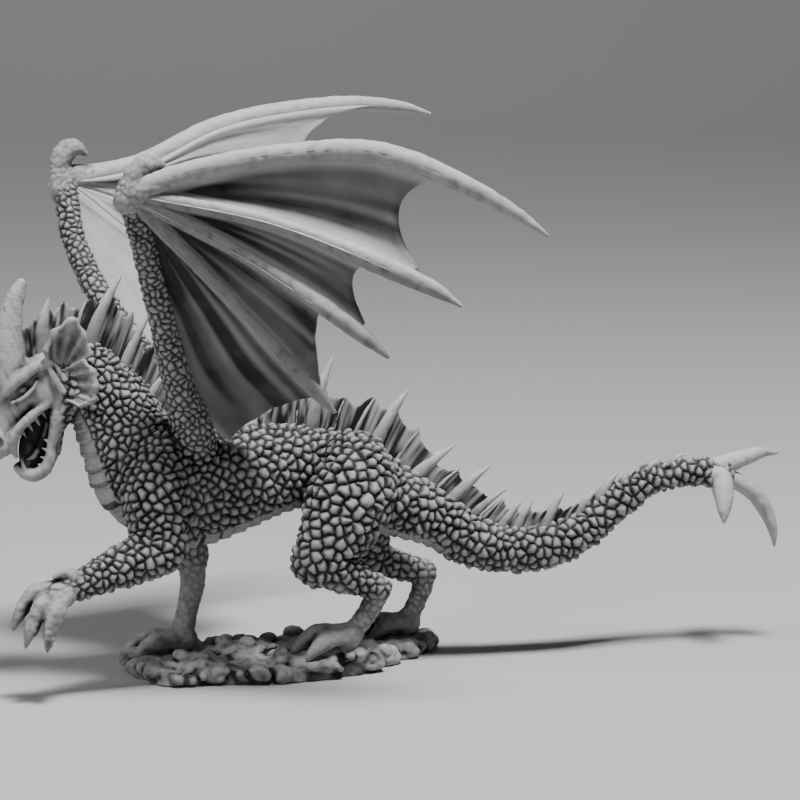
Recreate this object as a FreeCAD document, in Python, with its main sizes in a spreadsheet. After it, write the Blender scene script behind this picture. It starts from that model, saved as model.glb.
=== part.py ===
"""Winged four-legged dragon, a cast metal tabletop figure kit glued to its own strip of ground.

Millimetres. +Z is up, the head looks along -X, the tail runs along +X, and the figure's left side
is -Y. The origin is in the middle of the underside of the ground strip, on the table.

Heights in the tables are measured up from the top face of the ground strip, so the whole figure
stands on it. The castings are lofts through rings whose centres and half sizes are cells of the
sheet "sizes". Neighbouring castings along the spine share a ring, so they meet face to face.
"""
import FreeCAD, Part
import math
import os
import Sketcher

Vector = FreeCAD.Vector

# ----------------------------------------------------------------------------- overall sizes
OVERALL = {
    "figure_length": 105.6,       # snout to tail spike
    "figure_height": 73.0,        # ground strip to the highest wing finger
    "wing_span": 64.0,            # between the leading finger tips
    "drawn_length": 105.6,        # the three sizes that the tables below are drawn at
    "drawn_height": 73.0,
    "drawn_span": 64.0,
    "ground_thickness": 2.4,
    "pin_radius": 0.5,
    "pin_clearance": 0.06,
    "spine_pin_length": 6.0,
    "limb_pin_length": 4.4,
    "foot_pin_length": 3.2,
    "crest_thickness": 1.0,
    "membrane_thickness": 0.9,
}

# Rings along the spine: name, along X, up, half height, width as a share of the height.
SPINE = [
    ("snout_tip", -37.3, 28.2, 1.3, 1.0),
    ("snout", -36.4, 29.3, 2.1, 0.95),
    ("muzzle", -34.1, 32.2, 2.6, 0.88),
    ("brow", -31.3, 35.3, 3.5, 0.86),
    ("crown", -28.4, 36.9, 4.2, 0.84),
    ("head_joint", -25.4, 36.4, 4.3, 0.9),
    ("nape", -22.7, 32.9, 5.1, 0.9),
    ("neck_joint", -20.3, 28.2, 5.9, 0.82),
    ("chest", -17.6, 24.2, 7.2, 0.81),
    ("breast", -13.5, 22.2, 7.8, 0.85),
    ("ribs", -8.0, 22.6, 6.9, 0.93),
    ("waist", -2.0, 23.8, 5.8, 0.98),
    ("loin", 3.5, 24.0, 5.0, 1.0),
    ("hips", 8.5, 22.2, 5.1, 0.98),
    ("rump", 12.5, 20.0, 4.6, 0.93),
    ("tail_joint", 16.0, 18.5, 3.9, 0.95),
    ("tail_root", 19.6, 16.7, 3.2, 0.97),
    ("tail_fall", 23.6, 14.2, 2.8, 0.97),
    ("tail_break", 27.3, 12.6, 2.6, 0.97),
    ("tail_low", 31.2, 11.9, 2.6, 0.97),
    ("tail_rise", 36.4, 12.4, 2.5, 0.97),
    ("tail_climb", 41.3, 14.7, 2.2, 0.97),
    ("tail_bow", 45.5, 17.8, 1.9, 0.97),
    ("tail_crown", 50.0, 20.4, 1.6, 0.97),
    ("tail_wrist", 55.0, 21.2, 1.3, 0.97),
    ("tail_knob", 59.6, 20.8, 1.6, 0.97),
]
# The head meets the neck on a ring that stands nearly upright.
HEAD_JOINT_DIRECTION = Vector(0.98, 0.0, -0.2)

# Chains of rings: along X, across Y, up, half size, width share. Left is -Y.
CHAINS = {
    "jaw": [(-28.6, 0, 33.0, 1.9, 0.6), (-29.9, 0, 29.3, 1.8, 0.5),
            (-30.2, 0, 26.8, 1.7, 0.5), (-31.6, 0, 24.9, 1.5, 0.55), (-33.4, 0, 25.1, 0.9, 0.6)],
    "horn": [(-33.6, 0, 34.0, 2.0, 1.0), (-34.9, 0, 40.2, 1.7, 1.0),
             (-34.5, 0, 45.1, 1.2, 1.0), (-33.4, 0, 48.9, 0.45, 1.0)],
    "left_frill_high": [(-28.6, -2.9, 37.6, 1.4, 0.4), (-26.0, -4.9, 39.6, 2.5, 0.22),
                        (-24.0, -6.0, 41.0, 2.2, 0.2)],
    "left_frill_low": [(-28.8, -2.9, 35.0, 1.3, 0.4), (-26.2, -5.0, 35.5, 2.0, 0.26),
                       (-24.4, -6.1, 36.0, 1.7, 0.22)],
    "right_frill_high": [(-28.6, 2.9, 37.6, 1.4, 0.4), (-26.0, 4.9, 39.6, 2.5, 0.22),
                         (-24.0, 6.0, 41.0, 2.2, 0.2)],
    "right_frill_low": [(-28.8, 2.9, 35.0, 1.3, 0.4), (-26.2, 5.0, 35.5, 2.0, 0.26),
                        (-24.4, 6.1, 36.0, 1.7, 0.22)],
    "left_upper_arm": [(-16.6, -2.4, 27.6, 2.6, 0.9), (-17.6, -4.7, 23.4, 4.3, 0.95),
                       (-17.6, -7.2, 18.6, 3.1, 0.95), (-17.6, -8.6, 14.6, 2.3, 1.0)],
    "left_forearm": [(-15.9, -8.3, 16.3, 1.8, 1.0), (-18.2, -8.7, 15.4, 2.6, 1.0),
                     (-23.4, -9.6, 13.6, 2.2, 1.0), (-28.6, -10.8, 12.0, 1.5, 1.0),
                     (-31.6, -11.7, 11.1, 1.7, 1.0), (-33.2, -12.1, 10.5, 1.1, 1.0)],
    "left_finger_front": [(-31.2, -11.0, 11.3, 1.0, 1.0), (-34.4, -10.8, 10.4, 0.85, 1.0),
                          (-36.2, -10.6, 7.4, 0.3, 1.0)],
    "left_finger_middle": [(-31.4, -12.0, 11.0, 1.0, 1.0), (-33.9, -12.8, 9.0, 0.85, 1.0),
                           (-35.1, -13.2, 5.6, 0.3, 1.0)],
    "left_finger_rear": [(-30.8, -12.6, 11.0, 1.0, 1.0), (-31.7, -13.9, 8.4, 0.85, 1.0),
                         (-32.6, -14.5, 5.0, 0.3, 1.0)],
    "right_leg": [(-16.0, 2.4, 26.4, 2.6, 0.9), (-15.6, 4.6, 22.0, 4.0, 0.95),
                  (-12.9, 6.1, 16.0, 2.7, 1.0), (-11.0, 6.4, 11.4, 1.9, 1.0),
                  (-10.9, 6.2, 8.2, 1.7, 1.0), (-11.8, 5.7, 4.4, 1.5, 1.0),
                  (-12.6, 5.2, 1.6, 1.7, 1.0), (-12.9, 5.1, -0.6, 1.6, 1.0)],
    "right_toe_inner": [(-12.4, 4.4, 0.9, 1.2, 1.0), (-16.0, 3.0, 0.9, 0.95, 1.0),
                        (-18.6, 2.2, 0.2, 0.8, 1.0)],
    "right_toe_middle": [(-12.4, 5.1, 0.9, 1.2, 1.0), (-16.4, 4.8, 1.1, 0.95, 1.0),
                         (-19.4, 4.6, 0.3, 0.8, 1.0)],
    "right_toe_outer": [(-12.4, 5.7, 0.9, 1.2, 1.0), (-15.8, 6.7, 0.9, 0.95, 1.0),
                        (-18.2, 7.3, 0.2, 0.8, 1.0)],
    "left_thigh": [(9.4, -1.6, 26.0, 3.2, 0.8), (8.4, -3.8, 23.0, 5.6, 0.72),
                   (6.0, -5.9, 17.6, 5.0, 0.72), (3.2, -7.0, 13.2, 3.2, 0.85),
                   (2.2, -7.3, 11.2, 1.9, 0.9)],
    "left_shank": [(1.6, -7.2, 13.8, 2.2, 1.0), (4.2, -7.3, 12.0, 2.4, 1.0),
                   (8.0, -7.1, 10.2, 1.8, 1.0), (11.2, -7.0, 8.9, 1.3, 1.0)],
    "left_shin": [(10.4, -7.0, 10.2, 1.1, 1.0), (10.2, -6.9, 7.8, 1.5, 1.0),
                  (8.6, -6.1, 4.6, 1.3, 1.0), (7.0, -5.4, 2.2, 1.6, 1.0), (6.4, -5.2, -0.8, 1.5, 1.0)],
    "left_toe_inner": [(6.8, -4.8, 2.4, 1.1, 1.0), (3.4, -3.4, 2.0, 0.95, 1.0),
                       (0.8, -2.6, 1.0, 0.7, 1.0)],
    "left_toe_middle": [(6.8, -5.4, 2.4, 1.1, 1.0), (2.8, -5.4, 2.2, 0.95, 1.0),
                        (-0.6, -5.4, 1.2, 0.7, 1.0)],
    "left_toe_outer": [(6.8, -5.9, 2.4, 1.1, 1.0), (3.6, -7.2, 1.8, 0.95, 1.0),
                       (1.2, -8.0, 0.8, 0.7, 1.0)],
    "right_thigh": [(10.0, 1.6, 23.2, 3.0, 0.8), (10.6, 3.6, 20.0, 4.6, 0.75),
                    (11.8, 6.2, 15.2, 3.9, 0.8), (12.6, 7.4, 10.8, 2.5, 0.9),
                    (12.4, 7.8, 8.9, 1.6, 1.0)],
    "right_shank": [(11.4, 7.8, 11.0, 1.8, 1.0), (14.0, 7.8, 9.9, 2.1, 1.0),
                    (17.6, 7.9, 8.8, 1.7, 1.0), (21.3, 8.0, 7.6, 1.2, 1.0)],
    "right_shin": [(20.4, 8.0, 8.9, 1.1, 1.0), (20.4, 8.0, 6.6, 1.4, 1.0),
                   (19.4, 8.0, 3.4, 1.3, 1.0), (18.4, 8.0, 1.1, 1.6, 1.0),
                   (18.2, 8.0, -0.6, 1.5, 1.0)],
    "right_hind_toe_inner": [(18.2, 7.4, 0.9, 1.1, 1.0), (15.2, 6.0, 0.9, 0.9, 1.0),
                             (12.8, 5.2, 0.2, 0.7, 1.0)],
    "right_hind_toe_middle": [(18.2, 8.0, 0.9, 1.1, 1.0), (14.8, 8.0, 1.0, 0.9, 1.0),
                              (11.8, 8.1, 0.2, 0.7, 1.0)],
    "right_hind_toe_outer": [(18.2, 8.6, 0.9, 1.1, 1.0), (15.4, 9.8, 0.9, 0.9, 1.0),
                             (13.2, 10.6, 0.2, 0.7, 1.0)],
    "tail_spike_high": [(58.6, 0, 21.4, 1.5, 1.0), (62.0, 0.4, 22.7, 1.2, 1.0),
                        (65.4, 0.8, 23.4, 0.8, 1.0), (68.0, 1.0, 23.1, 0.25, 1.0)],
    "tail_spike_front": [(59.4, -0.4, 21.2, 1.5, 1.0), (58.9, -2.4, 19.0, 1.4, 1.0),
                         (58.6, -4.2, 15.8, 0.35, 1.0)],
    "tail_spike_low": [(59.2, 0.2, 20.4, 1.5, 1.0), (63.0, 0.2, 18.2, 1.3, 1.0),
                       (66.0, 0.0, 15.8, 1.1, 1.0), (67.4, 0.0, 11.2, 0.3, 1.0)],
    "tail_spike_far": [(59.4, 0.4, 21.2, 1.4, 1.0), (59.8, 2.6, 19.8, 1.2, 1.0),
                       (60.4, 4.4, 17.4, 0.3, 1.0)],
}

# Wing spars, drawn for the left wing and the right wing. They all end or start at the wrist.
WINGS = {
    "left": {
        "arm": [(-11.9, -2.8, 25.4, 2.7, 1.0), (-12.4, -4.4, 28.6, 2.6, 1.0),
                (-14.6, -6.4, 35.4, 1.9, 1.0), (-16.9, -9.0, 43.4, 1.6, 1.0),
                (-19.4, -13.0, 51.4, 1.4, 1.0), (-22.6, -17.8, 61.2, 1.6, 1.0)],
        "thumb": [(-23.4, -17.9, 60.2, 1.5, 1.0), (-21.6, -18.0, 64.2, 1.3, 1.0),
                  (-19.6, -18.0, 65.4, 0.9, 1.0), (-17.0, -18.0, 65.2, 0.35, 1.0)],
        "finger_1": [(-22.6, -17.8, 61.4, 1.3, 1.0), (-13.4, -20.6, 64.4, 1.3, 1.0),
                     (-3.9, -23.2, 66.0, 1.25, 1.0), (6.0, -27.0, 66.2, 1.15, 1.0),
                     (16.0, -30.0, 62.4, 1.0, 1.0), (26.1, -32.0, 56.1, 0.35, 1.0)],
        "finger_2": [(-22.6, -17.8, 61.2, 1.1, 1.0), (-5.4, -24.0, 57.5, 0.95, 1.0),
                     (8.0, -29.5, 51.9, 0.9, 1.0), (15.1, -32.0, 47.9, 0.35, 1.0)],
        "finger_3": [(-22.6, -17.8, 61.0, 1.1, 1.0), (-7.4, -22.0, 52.6, 0.95, 1.0),
                     (0.8, -26.0, 46.8, 0.9, 1.0), (7.2, -28.0, 41.6, 0.35, 1.0)],
        "finger_4": [(-22.6, -17.8, 60.8, 1.1, 1.0), (-8.9, -17.6, 46.6, 0.95, 1.0),
                     (-1.7, -17.0, 38.6, 0.9, 1.0), (3.2, -16.0, 33.4, 0.35, 1.0)],
        "back_edge": [(-22.6, -17.8, 61.2), (-19.4, -13.0, 51.4), (-16.9, -9.0, 43.4),
                      (-13.6, -6.0, 35.0), (-7.8, -4.4, 28.8)],
    },
    "right": {
        "arm": [(-11.9, 2.8, 25.4, 2.7, 1.0), (-12.4, 4.4, 28.6, 2.6, 1.0),
                (-16.4, 6.4, 36.6, 1.9, 1.0), (-20.8, 9.2, 43.6, 1.6, 1.0),
                (-24.6, 13.4, 52.0, 1.4, 1.0), (-25.4, 17.8, 60.2, 1.6, 1.0)],
        "thumb": [(-26.2, 17.8, 59.2, 1.5, 1.0), (-25.0, 18.0, 63.4, 1.3, 1.0),
                  (-23.6, 18.0, 64.9, 0.9, 1.0), (-21.6, 18.0, 64.2, 0.35, 1.0)],
        "finger_1": [(-25.4, 17.8, 60.4, 1.3, 1.0), (-16.0, 20.4, 61.9, 1.3, 1.0),
                     (-3.6, 24.2, 66.8, 1.25, 1.0), (8.2, 27.4, 68.8, 1.15, 1.0),
                     (19.0, 30.0, 69.2, 1.0, 1.0), (27.8, 32.0, 67.6, 0.35, 1.0)],
        "finger_2": [(-25.4, 17.8, 60.2, 1.1, 1.0), (-6.6, 24.0, 59.6, 0.95, 1.0),
                     (8.0, 29.5, 57.0, 0.9, 1.0), (15.6, 32.0, 54.4, 0.35, 1.0)],
        "finger_3": [(-25.4, 17.8, 60.0, 1.1, 1.0), (-8.4, 22.0, 53.4, 0.95, 1.0),
                     (0.8, 26.0, 48.6, 0.9, 1.0), (7.0, 28.0, 44.6, 0.35, 1.0)],
        "finger_4": [(-25.4, 17.8, 59.8, 1.1, 1.0), (-9.8, 17.6, 46.8, 0.95, 1.0),
                     (-1.7, 17.0, 38.8, 0.9, 1.0), (3.2, 16.0, 33.4, 0.35, 1.0)],
        "back_edge": [(-25.4, 17.8, 60.2), (-24.6, 13.4, 52.0), (-20.8, 9.2, 43.6),
                      (-15.4, 6.0, 35.6), (-7.8, 4.4, 28.8)],
    },
}
# Skin panels between two spars: where each edge ends along its spar, how deep the scallop is,
# and how far the skin bellies out.
PANELS = [
    ("finger_1", "finger_2", 0.78, 0.9, 0.16, 1.4),
    ("finger_2", "finger_3", 0.84, 0.88, 0.12, 1.2),
    ("finger_3", "finger_4", 0.84, 0.88, 0.12, 1.2),
    ("finger_4", "back_edge", 0.92, 1.0, 0.06, 1.6),
]
PANEL_START = 0.1
PANEL_ROWS = 5
PANEL_COLUMNS = 5

# Thin crest plates standing on the midline: corners along X and up.
CRESTS = {
    "head_crest": [(-31.2, 36.6), (-32.4, 42.8), (-30.4, 46.4), (-28.2, 45.4), (-26.8, 46.4),
                   (-24.4, 45.2), (-25.4, 36.4)],
    "neck_crest": [(-25.4, 36.4), (-24.4, 45.2), (-23.2, 46.2), (-20.8, 49.1), (-20.4, 45.4),
                   (-18.4, 43.8), (-17.2, 39.6), (-15.6, 34.4), (-15.4, 32.6), (-20.3, 28.2)],
    "back_crest": [(-5.6, 26.8), (-3.8, 31.0), (0.2, 33.2), (3.4, 34.0), (6.4, 38.4), (7.8, 32.6),
                   (11.6, 32.2), (13.4, 31.0), (16.6, 33.4), (16.6, 28.2), (18.4, 25.0),
                   (16.0, 18.5), (8.5, 22.2)],
    "tail_crest": [(16.0, 18.5), (18.4, 25.0), (19.8, 24.2), (22.6, 25.7), (23.0, 22.6),
                   (25.2, 21.2), (27.7, 23.0), (27.6, 19.6), (28.0, 15.4), (27.3, 12.6),
                   (23.6, 14.2), (19.6, 16.7)],
    "tail_end_crest": [(27.3, 12.6), (28.0, 15.4), (29.6, 19.4), (31.4, 17.4), (33.4, 18.2),
                       (34.6, 16.4), (37.8, 19.2), (38.4, 17.2), (40.4, 18.6), (42.0, 18.8),
                       (45.2, 21.4), (46.6, 19.6), (45.5, 17.8), (41.3, 14.7), (36.4, 12.4),
                       (31.2, 11.9)],
}

# Ground strip outline, along X and across Y.
GROUND = [(-21.0, -5.5), (-18.0, -8.2), (-10.0, -8.6), (-3.0, -9.6), (4.0, -8.8), (10.0, -6.4),
          (14.0, -1.6), (19.0, 2.4), (22.0, 6.5), (21.0, 11.0), (15.0, 12.6), (5.0, 12.4),
          (-6.0, 11.2), (-16.0, 10.4), (-21.0, 7.4), (-22.4, 0.5)]
# Rocks cast on the strip: name, along X, across Y, half length, half width, height above it.
ROCKS = [
    ("hind_foot_rock", 3.4, -5.0, 7.0, 3.8, 1.9),
    ("middle_rock", -5.0, 2.5, 4.5, 4.0, 1.3),
    ("near_rock", -12.5, -4.0, 4.2, 3.2, 1.4),
    ("far_rock", 9.0, 3.6, 4.0, 3.0, 1.5),
]

# Pins in the joints of limbs: centre along X, across Y and up, and the direction they lie in.
LIMB_PINS = [
    ("left_shoulder", -17.2, -5.2, 22.6, Vector(0, -1, 0)),
    ("right_shoulder", -15.2, 5.2, 21.4, Vector(0, 1, 0)),
    ("left_hip", 8.0, -4.9, 21.4, Vector(0, -1, 0)),
    ("right_hip", 10.8, 4.4, 18.8, Vector(0, 1, 0)),
    ("left_wing_root", -12.3, -4.2, 27.6, Vector(-0.1, -0.45, 0.9)),
    ("right_wing_root", -12.3, 4.2, 27.6, Vector(-0.2, 0.4, 0.9)),
]
FOOT_PINS = [
    ("right_forefoot", -12.8, 5.1),
    ("left_hind_foot", 6.6, -5.3),
    ("right_hind_foot", 18.3, 8.0),
]


# ----------------------------------------------------------------------------- document and sheet
class Figure:
    """The document, its sheet of sizes and the objects that are built from it."""

    def __init__(self):
        self.document = FreeCAD.newDocument("dragon_figure")
        self.sheet = self.document.addObject("Spreadsheet::Sheet", "sizes")
        self.rows = 0
        self.finished = []

    def enter(self, alias, number):
        """Write one named number into the sheet."""
        self.rows += 1
        self.sheet.set(f"A{self.rows}", alias)
        self.sheet.set(f"B{self.rows}", str(number))
        self.sheet.setAlias(f"B{self.rows}", alias)

    def value(self, alias):
        """Read one named number back from the sheet."""
        return float(self.sheet.get(alias))

    def add(self, kind, name):
        """Add an object of the given kind to the document."""
        return self.document.addObject(kind, name)

    def formulas(self, name, wing=False):
        """Expressions for the X, Y and Z of a named point, stretched with the overall sizes."""
        spread = " * sizes.wing_span / sizes.drawn_span" if wing else ""
        return (
            f"sizes.{name}_along * sizes.figure_length / sizes.drawn_length",
            f"sizes.{name}_across{spread}",
            f"sizes.ground_thickness + sizes.{name}_up * sizes.figure_height / sizes.drawn_height",
        )

    def point(self, name, wing=False):
        """The same point as a vector, for directions and free-form skin."""
        spread = self.value("wing_span") / self.value("drawn_span") if wing else 1.0
        stretch = self.value("figure_length") / self.value("drawn_length")
        lift = self.value("figure_height") / self.value("drawn_height")
        return Vector(
            self.value(f"{name}_along") * stretch,
            self.value(f"{name}_across") * spread,
            self.value("ground_thickness") + self.value(f"{name}_up") * lift,
        )

    def place(self, item, name, rotation, wing=False):
        """Turn an object and bind its position to the cells of a named point."""
        item.Placement = FreeCAD.Placement(self.point(name, wing), rotation)
        for axis, formula in zip("xyz", self.formulas(name, wing)):
            item.setExpression(f"Placement.Base.{axis}", formula)


figure = Figure()
for alias, number in OVERALL.items():
    figure.enter(alias, number)


def enter_point(name, along, across, up):
    """Write a point's three coordinates."""
    figure.enter(f"{name}_along", along)
    figure.enter(f"{name}_across", across)
    figure.enter(f"{name}_up", up)


def enter_chain(name, stations):
    """Write the stations of one chain of rings and return the names of its points."""
    names = []
    for number, station in enumerate(stations):
        point_name = f"{name}_{number}"
        enter_point(point_name, *station[:3])
        if len(station) > 3:
            figure.enter(f"{point_name}_half", station[3])
            figure.enter(f"{point_name}_share", station[4])
        names.append(point_name)
    return names


spine_names = []
for name, along, up, half, share in SPINE:
    enter_point(name, along, 0.0, up)
    figure.enter(f"{name}_half", half)
    figure.enter(f"{name}_share", share)
    spine_names.append(name)
chain_names = {name: enter_chain(name, stations) for name, stations in CHAINS.items()}
wing_names = {
    side: {spar: enter_chain(f"{side}_{spar}", stations) for spar, stations in spars.items()}
    for side, spars in WINGS.items()
}
for front, rear, front_end, rear_end, scallop, belly in PANELS:
    figure.enter(f"{front}_skin_front_end", front_end)
    figure.enter(f"{front}_skin_rear_end", rear_end)
    figure.enter(f"{front}_skin_scallop", scallop)
    figure.enter(f"{front}_skin_belly", belly)
for crest, corners in CRESTS.items():
    for number, (along, up) in enumerate(corners):
        enter_point(f"{crest}_{number}", along, 0.0, up)
for number, (along, across) in enumerate(GROUND):
    enter_point(f"ground_{number}", along, across, 0.0)
for name, along, across, length, width, height in ROCKS:
    enter_point(name, along, across, 0.0)
    figure.enter(f"{name}_length", length)
    figure.enter(f"{name}_width", width)
    figure.enter(f"{name}_height", height)
for name, along, across, up, direction in LIMB_PINS:
    enter_point(f"{name}_pin", along, across, up)
for name, along, across in FOOT_PINS:
    enter_point(f"{name}_pin", along, across, 0.0)
figure.document.recompute()


# ----------------------------------------------------------------------------- rings and lofts
def directions(points):
    """Unit direction of a chain at each of its points, from the points on either side."""
    last = len(points) - 1
    found = []
    for number in range(len(points)):
        step = points[min(number + 1, last)] - points[max(number - 1, 0)]
        found.append(step.normalize())
    return found


def ring(name, direction, wing=False, broad=False):
    """Elliptical ring across a direction; its long half stands up, or lies across when broad."""
    across = Vector(0, 1, 0)
    upright = across.cross(direction)
    if broad:
        rotation = FreeCAD.Rotation(across, Vector(0, 0, 0), direction, "ZXY")
    else:
        rotation = FreeCAD.Rotation(upright, Vector(0, 0, 0), direction, "ZXY")
    item = figure.add("Part::Ellipse", f"{name}_ring")
    item.setExpression("MajorRadius", f"sizes.{name}_half")
    item.setExpression("MinorRadius", f"sizes.{name}_half * sizes.{name}_share")
    figure.place(item, name, rotation, wing)
    return item


def loft(name, rings):
    """Smooth closed solid through the rings."""
    item = figure.add("Part::Loft", f"{name}_form")
    item.Sections = rings
    item.Solid = True
    item.Ruled = False
    return item


def chain_loft(name, names, wing=False, broad=False):
    """Loft through the rings of one chain."""
    points = [figure.point(point_name, wing) for point_name in names]
    rings = [
        ring(point_name, direction, wing, broad)
        for point_name, direction in zip(names, directions(points))
    ]
    return loft(name, rings)


def chains(names, broad=False):
    """Lofts of several chains of the table."""
    return [chain_loft(name, chain_names[name], broad=broad) for name in names]


def fuse(name, items):
    """One casting made of several overlapping forms."""
    item = figure.add("Part::MultiFuse", name)
    item.Shapes = items
    return item


def cut(name, body, tools):
    """A casting with the given forms taken out of it, one after another."""
    for number, tool in enumerate(tools):
        last = number == len(tools) - 1
        item = figure.add("Part::Cut", name if last else f"{name}_step_{number}")
        item.Base = body
        item.Tool = tool
        body = item
    return body


# ----------------------------------------------------------------------------- outlines
def bound_body(name, corners, plane, offsets):
    """PartDesign body with a closed straight-sided sketch whose corners follow given formulas."""
    body = figure.add("PartDesign::Body", f"{name}_body")
    sketch = body.newObject("Sketcher::SketchObject", f"{name}_outline")
    origin_plane = next(item for item in body.Origin.OriginFeatures if item.Role == plane)
    sketch.AttachmentSupport = (origin_plane, [""])
    sketch.MapMode = "FlatFace"
    count = len(corners)
    for number in range(count):
        sketch.addGeometry(Part.LineSegment(corners[number], corners[(number + 1) % count]), False)
    for number in range(count):
        sketch.addConstraint(Sketcher.Constraint("Coincident", number, 2, (number + 1) % count, 1))
    for number, (first, second) in enumerate(offsets):
        for kind, formula, value in (
            ("DistanceX", first, corners[number].x),
            ("DistanceY", second, corners[number].y),
        ):
            index = sketch.addConstraint(Sketcher.Constraint(kind, -1, 1, number, 1, value))
            sketch.setExpression(f"Constraints[{index}]", formula)
    return body, sketch


def crest_plate(name):
    """Thin plate with a ragged outline, standing on the midline plane."""
    names = [f"{name}_{number}" for number in range(len(CRESTS[name]))]
    corners = [Vector(figure.point(corner).x, figure.point(corner).z, 0) for corner in names]
    formulas = [figure.formulas(corner) for corner in names]
    body, sketch = bound_body(name, corners, "XZ_Plane", [(item[0], item[2]) for item in formulas])
    pad = body.newObject("PartDesign::Pad", f"{name}_pad")
    pad.Profile = sketch
    pad.SideType = "Symmetric"
    pad.setExpression("Length", "sizes.crest_thickness")
    return body


def ground_strip():
    """Flat irregular strip with low rocks on it."""
    names = [f"ground_{number}" for number in range(len(GROUND))]
    corners = [Vector(figure.point(corner).x, figure.point(corner).y, 0) for corner in names]
    formulas = [figure.formulas(corner) for corner in names]
    body, sketch = bound_body("ground", corners, "XY_Plane", [(item[0], item[1]) for item in formulas])
    pad = body.newObject("PartDesign::Pad", "ground_pad")
    pad.Profile = sketch
    pad.setExpression("Length", "sizes.ground_thickness")
    rocks = []
    for name, *_ in ROCKS:
        rock = figure.add("Part::Ellipsoid", f"{name}_form")
        rock.Angle1 = 0
        rock.setExpression("Radius1", f"sizes.{name}_height")
        rock.setExpression("Radius2", f"sizes.{name}_length")
        rock.setExpression("Radius3", f"sizes.{name}_width")
        figure.place(rock, name, FreeCAD.Rotation())
        rocks.append(rock)
    return fuse("ground_form", [body] + rocks)


# ----------------------------------------------------------------------------- pins
def cylinder(name, centre, direction, radius_formula, length_formula):
    """Cylinder centred on a point; its length and radius are bound to the sheet."""
    item = figure.add("Part::Cylinder", name)
    item.setExpression("Radius", radius_formula)
    item.setExpression("Height", length_formula)
    figure.document.recompute()
    axis = Vector(direction)
    axis.normalize()
    rotation = FreeCAD.Rotation(Vector(0, 0, 1), axis)
    item.Placement = FreeCAD.Placement(centre - axis * (item.Height.Value / 2), rotation)
    return item


def pin_and_hole(name, centre, direction, length_alias):
    """A brass pin and the slightly larger hole that it sits in."""
    pin = cylinder(f"{name}_pin", centre, direction, "sizes.pin_radius", f"sizes.{length_alias}")
    hole = cylinder(
        f"{name}_hole",
        centre,
        direction,
        "sizes.pin_radius + sizes.pin_clearance",
        f"sizes.{length_alias} + 2 * sizes.pin_clearance",
    )
    return pin, hole


def group(name, items):
    """Identical pieces that share a node."""
    item = figure.add("Part::Compound", name)
    item.Links = items
    return item


def finish(item, label):
    """Mark an object as a piece of the figure, to be written to its own file."""
    item.Label = label
    figure.finished.append(item)


# ----------------------------------------------------------------------------- wings
def curve_through(points):
    """Smooth edge through a list of points."""
    curve = Part.BSplineCurve()
    curve.interpolate(points)
    return curve.toShape()


def along_edge(edge, share):
    """Point at a share of an edge's length."""
    return edge.valueAt(edge.getParameterByLength(share * edge.Length))


def skin_point(front, rear, row, column, front_key, outward):
    """A point of the skin between two spars, with its scalloped end and its belly."""
    bow = math.sin(math.pi * column)
    front_end = figure.value(f"{front_key}_skin_front_end")
    rear_end = figure.value(f"{front_key}_skin_rear_end")
    scallop = figure.value(f"{front_key}_skin_scallop")
    belly = figure.value(f"{front_key}_skin_belly")
    end = front_end + (rear_end - front_end) * column - scallop * bow
    share = PANEL_START + (end - PANEL_START) * row
    front_point = along_edge(front, share)
    rear_point = along_edge(rear, share)
    return front_point + (rear_point - front_point) * column + outward * (belly * bow * row)


def skin_panel(side, front_key, rear_key):
    """Thin curved skin between two spars: two smooth faces, closed by ruled faces round the rim."""
    front_names = wing_names[side][front_key]
    rear_names = wing_names[side][rear_key]
    front = curve_through([figure.point(name, True) for name in front_names])
    rear = curve_through([figure.point(name, True) for name in rear_names])
    across = along_edge(rear, 0.6) - along_edge(front, 0.6)
    outward = across.cross(along_edge(front, 0.9) - along_edge(front, 0.2)).normalize()
    if outward.z < 0:
        outward = outward * -1
    half = figure.value("membrane_thickness") / 2
    rows = [number / (PANEL_ROWS - 1) for number in range(PANEL_ROWS)]
    columns = [number / (PANEL_COLUMNS - 1) for number in range(PANEL_COLUMNS)]
    middle = [
        [skin_point(front, rear, row, column, front_key, outward) for column in columns]
        for row in rows
    ]
    faces = []
    surfaces = []
    for sign in (1, -1):
        surface = Part.BSplineSurface()
        surface.interpolate([[point + outward * (sign * half) for point in row] for row in middle])
        surfaces.append(surface)
        faces.append(surface.toShape())
    for upper, lower in zip(faces[0].Edges, faces[1].Edges):
        faces.append(Part.makeRuledSurface(upper, lower))
    shell = Part.Shell(faces[:])
    shell.sewShape()
    solid = Part.Solid(shell)
    if solid.Volume < 0:
        solid.reverse()
    item = figure.add("Part::Feature", f"{side}_{front_key}_skin")
    item.Shape = solid
    return item


def wing(side, neighbours, hole):
    """One wing casting: arm, thumb, four fingers and the skin between them."""
    names = wing_names[side]
    spars = [chain_loft(f"{side}_{spar}", names[spar], wing=True) for spar in names if spar != "back_edge"]
    panels = [skin_panel(side, front, rear) for front, rear, *_ in PANELS]
    return cut(f"{side}_wing", fuse(f"{side}_wing_form", spars + panels), neighbours + [hole])


# ----------------------------------------------------------------------------- spine castings
spine_points = [figure.point(name) for name in spine_names]
spine_directions = directions(spine_points)
spine_directions[spine_names.index("head_joint")] = HEAD_JOINT_DIRECTION
spine_rings = {
    name: ring(name, direction) for name, direction in zip(spine_names, spine_directions)
}


def spine_loft(name, first, last):
    """Loft along the spine between two named rings."""
    start = spine_names.index(first)
    end = spine_names.index(last)
    return loft(name, [spine_rings[ring_name] for ring_name in spine_names[start:end + 1]])


def spine_direction(name):
    """Direction of the spine at a named ring."""
    return spine_directions[spine_names.index(name)]


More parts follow.
